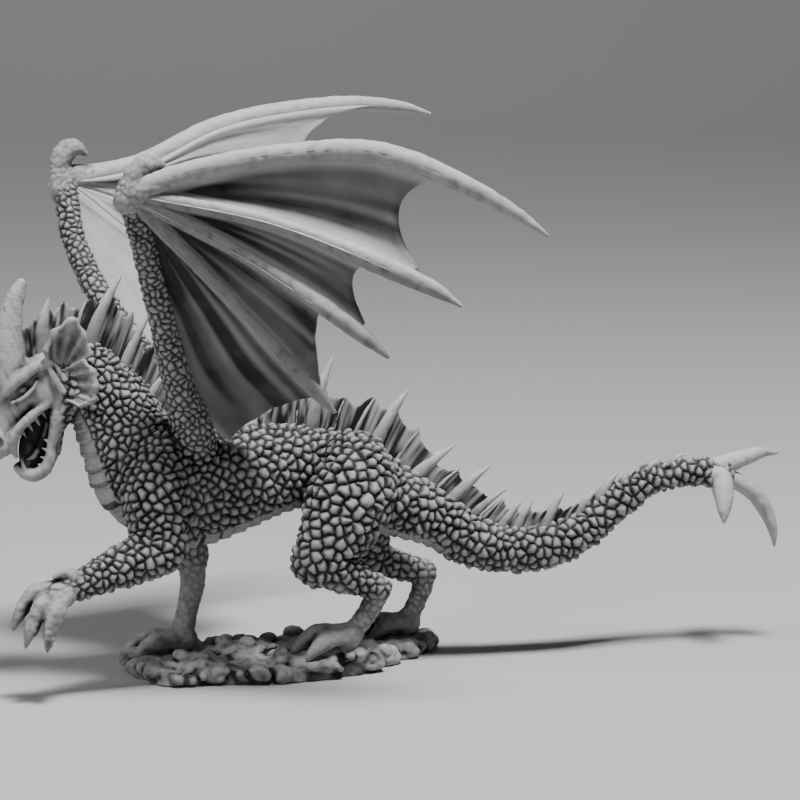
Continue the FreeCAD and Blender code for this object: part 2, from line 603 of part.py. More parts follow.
head_form = spine_loft("head", "snout_tip", "head_joint")
neck_form = spine_loft("neck", "head_joint", "neck_joint")
torso_form = spine_loft("torso", "neck_joint", "tail_joint")
tail_front_form = spine_loft("tail_front", "tail_joint", "tail_break")
tail_rear_form = spine_loft("tail_rear", "tail_break", "tail_knob")

spine_pins = {
    name: pin_and_hole(name, figure.point(name), spine_direction(name), "spine_pin_length")
    for name in ("head_joint", "neck_joint", "tail_joint", "tail_break")
}
limb_pins = {
    name: pin_and_hole(name, figure.point(f"{name}_pin"), direction, "limb_pin_length")
    for name, _, _, _, direction in LIMB_PINS
}
foot_pins = {
    name: pin_and_hole(name, figure.point(f"{name}_pin"), Vector(0, 0, 1), "foot_pin_length")
    for name, _, _ in FOOT_PINS
}
spine_holes = {name: pair[1] for name, pair in spine_pins.items()}
limb_holes = {name: pair[1] for name, pair in limb_pins.items()}
foot_holes = {name: pair[1] for name, pair in foot_pins.items()}

frills = chains(["left_frill_high", "left_frill_low", "right_frill_high", "right_frill_low"])
jaw = chains(["jaw"], broad=True)
horn = chains(["horn"])
head_parts = [head_form] + jaw + horn + frills + [crest_plate("head_crest")]
head = cut("head", fuse("head_casting", head_parts), [neck_form, spine_holes["head_joint"]])
neck = cut(
    "neck",
    fuse("neck_casting", [neck_form, crest_plate("neck_crest")]),
    [torso_form, head_form, spine_holes["head_joint"], spine_holes["neck_joint"]],
)
torso = cut(
    "torso",
    fuse("torso_casting", [torso_form, crest_plate("back_crest")]),
    [tail_front_form, spine_holes["neck_joint"], spine_holes["tail_joint"]] + list(limb_holes.values()),
)
tail_front = cut(
    "tail_front",
    fuse("tail_front_casting", [tail_front_form, crest_plate("tail_crest")]),
    [torso_form, tail_rear_form, spine_holes["tail_joint"], spine_holes["tail_break"]],
)
spikes = chains(["tail_spike_high", "tail_spike_front", "tail_spike_low", "tail_spike_far"])
tail_rear = cut(
    "tail_rear",
    fuse("tail_rear_casting", [tail_rear_form, crest_plate("tail_end_crest")] + spikes),
    [tail_front_form, spine_holes["tail_break"]],
)

# ----------------------------------------------------------------------------- ground and legs
ground_form = ground_strip()
ground = cut("ground_base", ground_form, list(foot_holes.values()))


def limb(name, upper, others, tools):
    """A leg casting: its upper length is saddled to the torso, then the rest of it is added."""
    saddle = cut(f"{upper}_saddle", chain_loft(upper, chain_names[upper]), [torso_form])
    return cut(name, fuse(f"{name}_form", [saddle] + chains(others)), tools)


left_foreleg = limb(
    "left_foreleg",
    "left_upper_arm",
    ["left_forearm", "left_finger_front", "left_finger_middle", "left_finger_rear"],
    [limb_holes["left_shoulder"]],
)
right_foreleg = limb(
    "right_foreleg",
    "right_leg",
    ["right_toe_inner", "right_toe_middle", "right_toe_outer"],
    [ground_form, limb_holes["right_shoulder"], foot_holes["right_forefoot"]],
)
left_hind_leg = limb(
    "left_hind_leg",
    "left_thigh",
    ["left_shank", "left_shin", "left_toe_inner", "left_toe_middle", "left_toe_outer"],
    [ground_form, limb_holes["left_hip"], foot_holes["left_hind_foot"]],
)
right_hind_leg = limb(
    "right_hind_leg",
    "right_thigh",
    [
        "right_shank",
        "right_shin",
        "right_hind_toe_inner",
        "right_hind_toe_middle",
        "right_hind_toe_outer",
    ],
    [ground_form, limb_holes["right_hip"], foot_holes["right_hind_foot"]],
)
left_wing = wing("left", [torso_form, left_foreleg], limb_holes["left_wing_root"])
right_wing = wing("right", [torso_form, right_foreleg], limb_holes["right_wing_root"])

# ----------------------------------------------------------------------------- finished pieces
finish(ground, "ground_base")
finish(torso, "torso")
finish(neck, "neck")
finish(head, "head")
finish(left_foreleg, "left_foreleg")
finish(right_foreleg, "right_foreleg")
finish(left_hind_leg, "left_hind_leg")
finish(right_hind_leg, "right_hind_leg")
finish(left_wing, "left_wing")
finish(right_wing, "right_wing")
finish(tail_front, "tail_front")
finish(tail_rear, "tail_rear")
finish(group("spine_pin_set", [pair[0] for pair in spine_pins.values()]), "spine_pins")
finish(group("limb_pin_set", [pair[0] for pair in limb_pins.values()]), "limb_pins")
finish(group("foot_pin_set", [pair[0] for pair in foot_pins.values()]), "foot_pins")

figure.document.recompute()
for item in figure.document.Objects:
    if "Invalid" in item.State or "Error" in item.State:
        raise RuntimeError(f"{item.Name} could not be built: {item.State}")
for item in figure.finished:
    if item.Shape.isNull() or not item.Shape.isValid():
        raise RuntimeError(f"{item.Label} has no valid shape")
    pins = item.Label.endswith("_pins")
    if not pins and len(item.Shape.Solids) != 1:
        raise RuntimeError(f"{item.Label} came out as {len(item.Shape.Solids)} solids")

os.makedirs("parts", exist_ok=True)
for item in figure.finished:
    item.Shape.exportStep(os.path.join("parts", f"{item.Label}.step"))
    box = item.Shape.BoundBox
    lowest = f"{box.XMin:.1f} {box.YMin:.1f} {box.ZMin:.1f}"
    highest = f"{box.XMax:.1f} {box.YMax:.1f} {box.ZMax:.1f}"
    print(f"{item.Label:16s} volume {item.Shape.Volume:8.1f}  box {lowest} to {highest}")
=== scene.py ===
"""Looks of a small cast metal dragon figure: scaled castings, wing skins, crest and rocky strip.

The shapes are worked out in millimetres, in the frame of the design: +Z up, the head along -X,
the tail along +X and the creature's left side at -Y, with the table at Z = 0. They become metres
only when a mesh is made.
"""
import logging
import math
from dataclasses import dataclass, field
from enum import Enum

import bpy
import numpy as np
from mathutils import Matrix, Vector


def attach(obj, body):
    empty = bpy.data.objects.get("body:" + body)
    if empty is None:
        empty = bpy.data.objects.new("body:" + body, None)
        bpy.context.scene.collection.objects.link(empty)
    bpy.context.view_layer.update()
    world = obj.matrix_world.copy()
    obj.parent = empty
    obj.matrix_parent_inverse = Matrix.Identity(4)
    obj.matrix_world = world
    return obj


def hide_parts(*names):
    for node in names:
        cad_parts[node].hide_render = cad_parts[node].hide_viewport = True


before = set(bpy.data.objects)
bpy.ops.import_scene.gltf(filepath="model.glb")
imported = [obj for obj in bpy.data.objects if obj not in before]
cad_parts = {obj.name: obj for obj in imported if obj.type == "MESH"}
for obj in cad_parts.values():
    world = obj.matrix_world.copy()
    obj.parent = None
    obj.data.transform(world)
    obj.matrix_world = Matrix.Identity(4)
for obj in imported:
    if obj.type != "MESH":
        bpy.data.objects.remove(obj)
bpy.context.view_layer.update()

LOG = logging.getLogger("dragon_figure")
MM = 0.001
STRIP_TOP = 2.4  # top face of the ground strip, above the table
FAR = 9.0  # value of a clay field far from any form
HEAD_VOXEL = 0.115  # lattice spacing of the head's block
SKIN_HALF = 0.33  # half the thickness of the wing skin
PEBBLE_SIZE = 0.9  # width of all scales, as a share of what the forms say
SEED = 20


class Finish(Enum):
    """Material slots of the record; the pieces here don't use them."""

    SCALES = "scales"
    MEMBRANE = "membrane"
    ROCK = "rock"


# ----------------------------------------------------------------------------- curves and noise
def smooth_path(points: np.ndarray, count: int) -> np.ndarray:
    """Smooth curve through points, evenly spaced along its length.

    Between neighbours the curve is a cubic whose end slopes are those of the chords on either
    side, taken over the chord length.

    Args:
        points: Stations, one row each; extra columns such as a radius are carried along.
        count: How many points to return.

    Returns:
        An array of count rows with the same columns.
    """
    points = np.asarray(points, float)
    knots = np.concatenate([[0.0], np.cumsum(np.linalg.norm(np.diff(points[:, :3], axis=0), axis=1))])
    slopes = np.gradient(points, knots, axis=0) if len(points) > 2 else np.repeat(
        (points[1:] - points[:1]) / knots[1], 2, axis=0)
    fine = np.linspace(0.0, knots[-1], max(count * 6, 60))
    piece = np.clip(np.searchsorted(knots, fine, side="right") - 1, 0, len(points) - 2)
    span = knots[piece + 1] - knots[piece]
    t = ((fine - knots[piece]) / span)[:, None]
    curve = (
        (2 * t**3 - 3 * t**2 + 1) * points[piece]
        + (t**3 - 2 * t**2 + t) * span[:, None] * slopes[piece]
        + (3 * t**2 - 2 * t**3) * points[piece + 1]
        + (t**3 - t**2) * span[:, None] * slopes[piece + 1]
    )
    run = np.concatenate([[0.0], np.cumsum(np.linalg.norm(np.diff(curve[:, :3], axis=0), axis=1))])
    even = np.linspace(0.0, run[-1], count)
    return np.stack([np.interp(even, run, column) for column in curve.T], axis=1)


def raised_path(stations: tuple, count: int) -> np.ndarray:
    """Smooth path through stations above the strip, with its heights above the table."""
    path = smooth_path(np.array(stations, float), count)
    path[:, 2] += STRIP_TOP
    return path


def unit(vectors: np.ndarray) -> np.ndarray:
    """Vectors scaled to length one along the last axis."""
    return vectors / np.maximum(np.linalg.norm(vectors, axis=-1, keepdims=True), 1e-9)


def smooth_step(values: np.ndarray, low: float, high: float) -> np.ndarray:
    """Zero below low, one above high, and the cubic 3t^2 - 2t^3 between."""
    t = np.clip((values - low) / (high - low), 0.0, 1.0)
    return t * t * (3.0 - 2.0 * t)


def smooth_min(first: np.ndarray, second: np.ndarray, blend: float) -> np.ndarray:
    """Lower of two fields, with the corner between them filled over the blend distance."""
    mix = np.clip(0.5 + 0.5 * (second - first) / blend, 0.0, 1.0)
    return second * (1 - mix) + first * mix - blend * mix * (1 - mix)


def value_noise(points: np.ndarray, scale: float, seed: int) -> np.ndarray:
    """Smooth noise between -1 and 1: random values on a cubic lattice, blended with smooth steps.

    Args:
        points: Positions in millimetres, one row each.
        scale: Lattice spacing in millimetres.
        seed: Chooses the random values.

    Returns:
        One value per point.
    """
    cells = points / scale + 512.0
    base = np.floor(cells).astype(np.int64)
    part = cells - base
    part = part * part * (3 - 2 * part)
    total = np.zeros(len(points))
    for corner in np.ndindex(2, 2, 2):
        x, y, z = (base + corner).T
        key = (x * 73856093) ^ (y * 19349663) ^ (z * 83492791) ^ (seed * 2654435761)
        key = (key ^ (key >> 13)) * 1274126177 & 0x7FFFFFFF
        weight = np.prod(np.where(np.array(corner) == 1, part, 1 - part), axis=1)
        total += weight * (key / 0x3FFFFFFF - 1.0)
    return total


def stretched(grid: np.ndarray, across: float, down: float) -> np.ndarray:
    """Places of a flat grid as rows of three, stretched each way, to take noise at."""
    flat = grid.reshape(-1, 2)
    return np.stack([flat[:, 0] * across, flat[:, 1] * down, np.zeros(len(flat))], axis=1)


def edge_taper(share: np.ndarray, length: float, least: float) -> np.ndarray:
    """How thick a sheet is near its free edge, where share is one, as a part of its full thickness."""
    return np.sqrt(np.clip((1.0 - share) / length + least, least, 1.0))


# ----------------------------------------------------------------------------- clay
@dataclass
class Clay:
    """A block of modelling clay: distance to the surface, on a regular lattice.

    The field is negative inside. Low and high are the block's corners in millimetres.
    """

    low: np.ndarray
    high: np.ndarray
    voxel: float
    field: np.ndarray = field(init=False)

    def __post_init__(self) -> None:
        """Start with an empty block."""
        self.low = np.asarray(self.low, float)
        counts = np.ceil((np.asarray(self.high, float) - self.low) / self.voxel).astype(int) + 1
        self.field = np.full(tuple(counts), FAR, np.float32)

    def copy(self) -> "Clay":
        """Another block like this one, with a field of its own."""
        twin = Clay(self.low, self.high, self.voxel)
        twin.field = self.field.copy()
        return twin

    def window(self, low: np.ndarray, high: np.ndarray) -> tuple | None:
        """Slices and open coordinate grids of the part of the block inside a box."""
        first = np.maximum(np.floor((low - self.low) / self.voxel).astype(int), 0)
        last = np.minimum(np.ceil((high - self.low) / self.voxel).astype(int) + 1, self.field.shape)
        if np.any(last <= first):
            return None
        slices = tuple(slice(a, b) for a, b in zip(first, last))
        axes = [
            (self.low[k] + self.voxel * np.arange(first[k], last[k])).astype(np.float32)
            for k in range(3)
        ]
        return slices, np.ix_(*axes)

    def chain(self, path: np.ndarray, share: float = 1.0, reach: float = 2.0) -> np.ndarray:
        """Distance to a limb: a run of cones with rounded joints along a path.

        Args:
            path: Rows of X, Y, Z and radius.
            share: Width across Y as a share of the height.
            reach: How far from the surface the distance is worked out.

        Returns:
            A field of the block's shape, FAR away from the limb.
        """
        made = np.full(self.field.shape, FAR, np.float32)
        for start, end in zip(path[:-1], path[1:]):
            radius = max(start[3], end[3]) + reach
            found = self.window(
                np.minimum(start[:3], end[:3]) - radius, np.maximum(start[:3], end[:3]) + radius
            )
            if found is None:
                continue
            slices, (x, y, z) = found
            step = end[:3] - start[:3]
            length = max(float(step @ step), 1e-9)
            dx, dy, dz = x - start[0], y - start[1], z - start[2]
            t = np.clip((dx * step[0] + dy * step[1] + dz * step[2]) / length, 0.0, 1.0)
            away = np.sqrt(
                (dx - t * step[0]) ** 2
                + ((dy - t * step[1]) / share) ** 2
                + (dz - t * step[2]) ** 2
            )
            distance = (away - (start[3] + t * (end[3] - start[3]))) * (0.5 + 0.5 * share)
            made[slices] = np.minimum(made[slices], distance)
        return made

    def ball(self, centre: tuple, radii: tuple, tilt: float = 0.0, reach: float = 2.0) -> np.ndarray:
        """Distance to an ellipsoid, tilted about Y; scaled by the mean of its radii near it."""
        made = np.full(self.field.shape, FAR, np.float32)
        centre, radii = np.asarray(centre, float), np.asarray(radii, float)
        span = radii.max() + reach
        found = self.window(centre - span, centre + span)
        if found is None:
            return made
        slices, (x, y, z) = found
        dx, dy, dz = x - centre[0], y - centre[1], z - centre[2]
        c, s = math.cos(tilt), math.sin(tilt)
        along, up = dx * c + dz * s, dz * c - dx * s
        level = np.sqrt((along / radii[0]) ** 2 + (dy / radii[1]) ** 2 + (up / radii[2]) ** 2)
        slope = np.sqrt(
            (along / radii[0] ** 2) ** 2 + (dy / radii[1] ** 2) ** 2 + (up / radii[2] ** 2) ** 2
        )
        made[slices] = level * (level - 1.0) / np.maximum(slope, 1e-3)
        return made

    def join(self, other: np.ndarray, blend: float) -> None:
        """Add a form, with a fillet of the given size."""
        near = (other < FAR) | (self.field < FAR)
        self.field = np.where(near, smooth_min(other, self.field, blend), FAR).astype(np.float32)

    def carve(self, other: np.ndarray, blend: float) -> None:
        """Take a form away, with a rounded edge."""
        self.field = -smooth_min(-self.field, other, blend)

    def close_border(self) -> None:
        """Put a skin of empty clay round the block, so that its surface closes."""
        for axis in range(3):
            for end in (0, -1):
                edge = [slice(None)] * 3
                edge[axis] = end
                self.field[tuple(edge)] = np.maximum(self.field[tuple(edge)], 0.5 * self.voxel)

    def sample(self, points: np.ndarray) -> np.ndarray:
        """Field at any points, by blending the eight lattice values round each."""
        cells = np.clip((points - self.low) / self.voxel, 0, np.array(self.field.shape) - 1.001)
        base = cells.astype(int)
        part = cells - base
        total = np.zeros(len(points))
        for corner in np.ndindex(2, 2, 2):
            weight = np.prod(np.where(np.array(corner) == 1, part, 1 - part), axis=1)
            x, y, z = (base + corner).T
            total += weight * self.field[x, y, z]
        return total

    def skin(self) -> tuple[np.ndarray, np.ndarray]:
        """Closed surface of the clay, as points and four-sided faces.

        Each lattice cell that the surface passes through gets one point, the mean of the places
        where the surface crosses the cell's edges, and each crossed lattice edge gets one face
        between the four cells round it.

        Returns:
            Points in millimetres and faces as rows of four indices, facing outwards.
        """
        inside = self.field < 0.0
        shape = np.array(self.field.shape)
        strides = np.array([shape[1] * shape[2], shape[2], 1])
        cells, crossings, flips = [], [], []
        for axis in range(3):
            lower = [slice(None)] * 3
            upper = [slice(None)] * 3
            lower[axis], upper[axis] = slice(0, -1), slice(1, None)
            where = np.argwhere(inside[tuple(lower)] != inside[tuple(upper)])
            index = where @ strides
            start = self.field.ravel()[index].astype(float)
            end = self.field.ravel()[index + strides[axis]].astype(float)
            place = where.astype(float)
            place[:, axis] += start / (start - end)
            second, third = strides[(axis + 1) % 3], strides[(axis + 2) % 3]
            cells.append(np.stack([index, index - second, index - second - third, index - third], axis=1))
            crossings.append(place)
            flips.append(start > 0)
        around = np.concatenate(cells)
        place = np.repeat(np.concatenate(crossings), 4, axis=0)
        names, order = np.unique(around.ravel(), return_inverse=True)
        counts = np.bincount(order, minlength=len(names))
        points = np.stack([np.bincount(order, weights=place[:, k]) / counts for k in range(3)], axis=1)
        faces = order.reshape(-1, 4)
        flip = np.concatenate(flips)
        faces[flip] = faces[flip][:, ::-1]
        return self.low + points * self.voxel, faces


def surface_normals(points: np.ndarray, faces: np.ndarray) -> np.ndarray:
    """Outward unit normal at each point: the mean of the cross products of the faces round it."""
    a, b, c, d = (points[faces[:, k]] for k in range(4))
    cross = np.cross(c - a, d - b)
    flat = faces.ravel()
    spread = np.repeat(cross, 4, axis=0)
    total = [np.bincount(flat, weights=spread[:, k], minlength=len(points)) for k in range(3)]
    return unit(np.stack(total, axis=1))


# ----------------------------------------------------------------------------- forms of the body
@dataclass(frozen=True)
class Form:
    """One limb or muscle of the body.

    Stations are along X, across Y, up from the strip's top face, and half size. Share is its
    width across Y as a part of its height, and blend the fillet to the forms of its group. Pebble
    is the width of its scales, and scaly says how strongly they stand out. Detail is how many
    points its path has.
    """

    group: str
    stations: tuple
    share: float = 1.0
    blend: float = 1.0
    pebble: float = 1.2
    scaly: float = 1.0
    detail: int = 10

    def path(self) -> np.ndarray:
        """Smooth run of points and radii through the stations, above the table."""
        return raised_path(self.stations, self.detail)


def mirrored(stations: tuple) -> tuple:
    """The same stations on the other side of the creature."""
    return tuple((x, -y, z, *rest) for x, y, z, *rest in stations)


SPINE_STATIONS = (
    (-25.4, 0, 36.4, 4.3), (-22.7, 0, 32.9, 5.0), (-20.3, 0, 28.2, 5.8), (-17.6, 0, 24.2, 7.1),
    (-13.5, 0, 22.2, 7.7), (-8.0, 0, 22.6, 6.8), (-2.0, 0, 23.8, 5.7), (3.5, 0, 24.0, 4.9),
    (8.5, 0, 22.2, 5.1), (12.5, 0, 20.0, 4.6), (16.0, 0, 18.5, 3.9), (19.6, 0, 16.7, 3.2),
    (23.6, 0, 14.2, 2.8), (27.3, 0, 12.6, 2.6),
)
TAIL_STATIONS = (
    (16.0, 0, 18.5, 3.9), (19.6, 0, 16.7, 3.2), (23.6, 0, 14.2, 2.8), (27.3, 0, 12.6, 2.6),
    (31.2, 0, 11.9, 2.55), (36.4, 0, 12.4, 2.45), (41.3, 0, 14.7, 2.15), (45.5, 0, 17.8, 1.85),
    (50.0, 0, 20.4, 1.55), (55.0, 0, 21.2, 1.3), (58.2, 0, 21.0, 1.5), (59.6, 0, 20.8, 1.5),
)
SHOULDER_MUSCLE = ((-16.5, -3.6, 27.0, 3.0), (-15.6, -4.6, 22.5, 3.4), (-14.6, -4.0, 17.8, 2.6))
FORMS = (
    Form("spine", SPINE_STATIONS[:5], share=0.88, blend=0.05, pebble=0.95, detail=34),
    Form("spine", SPINE_STATIONS[3:], share=0.88, blend=0.05, pebble=1.2, detail=60),
    Form("tail", TAIL_STATIONS, share=0.97, pebble=1.15, detail=70),
    # shoulder muscles
    Form("spine", SHOULDER_MUSCLE, pebble=1.3),
    Form("spine", mirrored(SHOULDER_MUSCLE), pebble=1.3),
    # forelegs
    Form("left_foreleg", ((-17.0, -3.4, 26.8, 2.8), (-17.7, -5.2, 23.0, 4.0), (-17.9, -6.9, 18.9, 3.2),
                          (-17.7, -8.4, 15.4, 2.5)), pebble=1.25),
    Form("left_foreleg", ((-16.4, -8.4, 16.0, 1.7), (-18.4, -8.7, 15.3, 2.5), (-22.0, -9.3, 14.1, 2.35),
                          (-26.0, -10.2, 12.8, 1.8), (-29.2, -11.0, 11.8, 1.5), (-31.4, -11.7, 11.2, 1.6)),
         pebble=1.05, detail=18),
    Form("right_foreleg", ((-16.0, 3.0, 26.4, 2.6), (-15.4, 4.9, 21.6, 3.9), (-13.0, 6.1, 16.2, 2.8),
                           (-11.2, 6.4, 12.0, 2.0)), pebble=1.2, scaly=0.8),
    Form("right_foreleg", ((-11.1, 6.4, 12.4, 1.9), (-10.9, 6.2, 8.4, 1.6), (-11.9, 5.7, 4.2, 1.35),
                           (-12.6, 5.2, 1.4, 1.55)), pebble=0.9, scaly=0.15, detail=14),
    # hind legs
    Form("left_hind_leg", ((9.2, -2.4, 25.4, 3.0), (8.4, -4.3, 22.4, 4.9), (6.2, -5.9, 17.8, 4.5),
                           (3.8, -6.9, 14.0, 3.2), (2.6, -7.2, 12.6, 2.4)),
         share=0.85, pebble=1.35, detail=16),
    Form("left_hind_leg", ((2.4, -7.2, 13.4, 2.4), (5.0, -7.3, 11.7, 2.3), (8.0, -7.1, 10.2, 1.7),
                           (10.9, -7.0, 9.0, 1.3)), pebble=1.05, scaly=0.85),
    Form("left_hind_leg", ((10.8, -7.0, 9.3, 1.2), (10.3, -6.8, 7.2, 1.3), (8.7, -6.1, 4.4, 1.2),
                           (7.2, -5.5, 2.4, 1.5)), pebble=0.9, scaly=0.25),
    Form("right_hind_leg", ((10.0, 2.2, 23.0, 2.8), (10.6, 4.0, 20.0, 4.3), (11.8, 6.2, 15.2, 3.6),
                            (12.6, 7.4, 11.4, 2.4)), share=0.88, pebble=1.25, detail=14),
    Form("right_hind_leg", ((12.2, 7.8, 11.2, 2.1), (14.4, 7.8, 9.9, 2.0), (17.6, 7.9, 8.8, 1.6),
                            (20.9, 8.0, 7.8, 1.2)), pebble=1.0, scaly=0.8),
    Form("right_hind_leg", ((20.8, 8.0, 8.2, 1.15), (20.6, 8.0, 6.0, 1.25), (19.6, 8.0, 3.4, 1.15),
                            (18.4, 8.0, 1.2, 1.5)), pebble=0.9, scaly=0.3),
    # wing arms, each with its wrist and thumb
    Form("left_wing_arm", ((-12.0, -3.4, 26.4, 2.4), (-12.6, -4.9, 29.4, 2.5), (-14.4, -6.3, 35.0, 1.9),
                           (-16.9, -9.0, 43.4, 1.55), (-19.4, -13.0, 51.4, 1.35),
                           (-22.6, -17.8, 61.2, 1.35)),
         pebble=0.8, scaly=0.7, detail=44),
    Form("left_wing_arm", ((-23.0, -17.7, 60.2, 1.5), (-21.4, -18.2, 61.5, 1.5),
                           (-18.4, -19.1, 62.6, 1.25)),
         pebble=0.8, scaly=0.08, blend=0.7),
    Form("left_wing_arm", ((-22.9, -17.8, 60.4, 1.35), (-22.4, -17.9, 62.4, 1.2),
                           (-21.6, -18.0, 63.9, 1.3), (-20.5, -18.0, 64.6, 1.3),
                           (-19.2, -18.0, 64.5, 0.85), (-18.0, -18.0, 63.9, 0.3)),
         pebble=0.8, scaly=0.1, blend=0.5, detail=20),
    Form("right_wing_arm", ((-12.0, 3.4, 26.4, 2.4), (-12.8, 4.9, 29.4, 2.5), (-16.2, 6.4, 36.4, 1.9),
                            (-20.8, 9.2, 43.6, 1.55), (-24.6, 13.4, 52.0, 1.35), (-25.4, 17.8, 60.2, 1.35)),
         pebble=0.8, scaly=0.7, detail=44),
    Form("right_wing_arm", ((-25.9, 17.6, 58.9, 1.5), (-24.8, 18.0, 60.5, 1.5), (-21.2, 18.9, 61.0, 1.25)),
         pebble=0.8, scaly=0.08, blend=0.7),
    Form("right_wing_arm", ((-26.0, 17.7, 59.4, 1.5), (-26.0, 17.9, 61.6, 1.3), (-25.5, 18.0, 63.6, 1.4),
                             (-24.6, 18.0, 64.5, 1.3), (-23.4, 18.0, 64.5, 0.8), (-22.5, 18.0, 63.7, 0.25)),
         pebble=0.8, scaly=0.1, blend=0.5, detail=20),
)


TOES = (
    # raised left hand
    ("left_foreleg", ((-30.6, -11.2, 11.7, 1.3), (-32.6, -11.0, 11.6, 1.1), (-33.9, -10.9, 11.2, 1.2),
                      (-35.0, -10.8, 10.0, 0.95), (-35.6, -10.8, 9.0, 0.9), (-36.3, -10.7, 7.6, 0.5),
                      (-36.6, -10.6, 6.8, 0.2))),
    ("left_foreleg", ((-30.8, -12.0, 11.2, 1.3), (-32.4, -12.5, 10.6, 1.1), (-33.4, -12.8, 9.7, 1.2),
                      (-34.2, -13.0, 8.2, 0.95), (-34.7, -13.1, 7.1, 0.9), (-35.2, -13.2, 5.8, 0.5),
                      (-35.4, -13.2, 4.9, 0.2))),
    ("left_foreleg", ((-30.2, -12.5, 11.0, 1.2), (-31.3, -13.4, 10.0, 1.05), (-31.8, -13.9, 9.0, 1.15),
                      (-32.3, -14.2, 7.6, 0.92), (-32.5, -14.3, 6.7, 0.85), (-32.8, -14.4, 5.4, 0.5),
                      (-32.9, -14.4, 4.6, 0.2))),
    ("left_foreleg", ((-28.4, -11.0, 12.5, 1.0), (-29.6, -11.5, 13.5, 0.9), (-30.6, -11.9, 13.8, 0.6),
                      (-31.6, -12.1, 13.4, 0.25))),
    # standing right forefoot
    ("right_foreleg", ((-12.2, 4.6, 0.9, 1.5), (-14.6, 3.7, 1.2, 1.15), (-16.4, 3.0, 1.2, 1.15),
                       (-18.0, 2.5, 0.5, 0.95), (-19.2, 2.2, -0.6, 0.6), (-19.6, 2.1, -1.4, 0.3))),
    ("right_foreleg", ((-12.2, 5.1, 0.9, 1.5), (-15.0, 4.9, 1.4, 1.15), (-17.2, 4.8, 1.3, 1.2),
                       (-19.0, 4.6, 0.5, 1.0), (-20.3, 4.5, -0.6, 0.65), (-20.7, 4.5, -1.5, 0.3))),
    ("right_foreleg", ((-12.2, 5.6, 0.9, 1.5), (-14.6, 6.3, 1.2, 1.15), (-16.2, 6.8, 1.1, 1.15),
                       (-17.8, 7.2, 0.4, 0.9), (-18.8, 7.4, -0.4, 0.55), (-19.2, 7.5, -1.0, 0.3))),
    # left hind foot on its rock
    ("left_hind_leg", ((7.4, -5.0, 2.6, 1.5), (5.2, -4.1, 2.9, 1.15), (3.6, -3.5, 2.8, 1.15),
                       (2.3, -3.1, 2.1, 0.9), (1.3, -2.8, 1.3, 0.55), (0.9, -2.7, 0.8, 0.28))),
    ("left_hind_leg", ((7.4, -5.4, 2.6, 1.5), (4.9, -5.4, 3.1, 1.15), (2.9, -5.4, 2.9, 1.2),
                       (1.3, -5.4, 2.1, 0.92), (0.2, -5.4, 1.2, 0.58), (-0.2, -5.4, 0.7, 0.28))),
    ("left_hind_leg", ((7.4, -5.8, 2.6, 1.5), (5.2, -6.8, 2.7, 1.15), (3.7, -7.4, 2.4, 1.15),
                       (2.5, -7.8, 1.6, 0.9), (1.6, -8.2, 0.8, 0.55), (1.3, -8.3, 0.4, 0.28))),
    # right hind foot
    ("right_hind_leg", ((18.6, 7.6, 0.9, 1.4), (16.6, 6.8, 1.2, 1.05), (15.2, 6.2, 1.1, 1.1),
                        (13.9, 5.7, 0.5, 0.85), (13.0, 5.4, -0.2, 0.5), (12.7, 5.3, -0.6, 0.25))),
    ("right_hind_leg", ((18.6, 8.0, 0.9, 1.4), (16.2, 8.0, 1.3, 1.05), (14.4, 8.1, 1.2, 1.1),
                        (12.9, 8.1, 0.5, 0.85), (11.9, 8.2, -0.2, 0.5), (11.6, 8.2, -0.6, 0.25))),
    ("right_hind_leg", ((18.6, 8.4, 0.9, 1.4), (16.8, 9.2, 1.2, 1.05), (15.4, 9.8, 1.1, 1.1),
                        (14.2, 10.3, 0.4, 0.85), (13.3, 10.6, -0.3, 0.5), (13.0, 10.7, -0.6, 0.25))),
    # soles, which reach down into the strip
    ("right_foreleg", ((-12.7, 5.1, 1.0, 1.5), (-12.8, 5.1, -0.6, 1.4))),
    ("left_hind_leg", ((7.2, -5.4, 2.6, 1.5), (6.6, -5.3, 0.2, 1.4))),
    ("right_hind_leg", ((18.4, 8.0, 1.0, 1.4), (18.3, 8.0, -0.6, 1.3))),
)
ALL_FORMS = FORMS + tuple(
    Form(group, stations, pebble=0.8, scaly=0.0, blend=0.5, detail=18) for group, stations in TOES
)


@dataclass(frozen=True)
class Joint:
    """Flat joint between two castings of the spine: a point above the strip and a direction."""

    along: float
    up: float
    direction: tuple

    def side(self, x: np.ndarray, z: np.ndarray) -> np.ndarray:
        """Distance past the joint, positive on the tail's side."""
        return (x - self.along) * self.direction[0] + (z - self.up - STRIP_TOP) * self.direction[1]


HEAD_JOINT = Joint(-25.4, 36.4, (0.98, -0.199))
NECK_JOINT = Joint(-20.3, 28.2, (0.617, -0.787))
TAIL_JOINT = Joint(16.0, 18.5, (0.907, -0.421))
TAIL_BREAK = Joint(27.3, 12.6, (0.957, -0.29))


def block_of_forms(low: tuple, high: tuple, voxel: float) -> tuple[Clay, dict]:
    """An empty block and the field of each group of forms that reaches into it.

    Args:
        low: Lowest corner of the block in millimetres.
        high: Highest corner.
        voxel: Lattice spacing.

    Returns:
        The block and a dictionary of group name to field.
    """
    clay = Clay(np.array(low, float), np.array(high, float), voxel)
    fields: dict[str, np.ndarray] = {}
    for form in ALL_FORMS:
        path = form.path()
        reach = path[:, 3:].max() + 1.5
        if np.any(path[:, :3].min(0) - reach > high) or np.any(path[:, :3].max(0) + reach < low):
            continue
        made = clay.chain(path, form.share)
        if form.group in fields:
            fields[form.group] = smooth_min(made, fields[form.group], form.blend).astype(np.float32)
        else:
            fields[form.group] = made
    return clay, fields


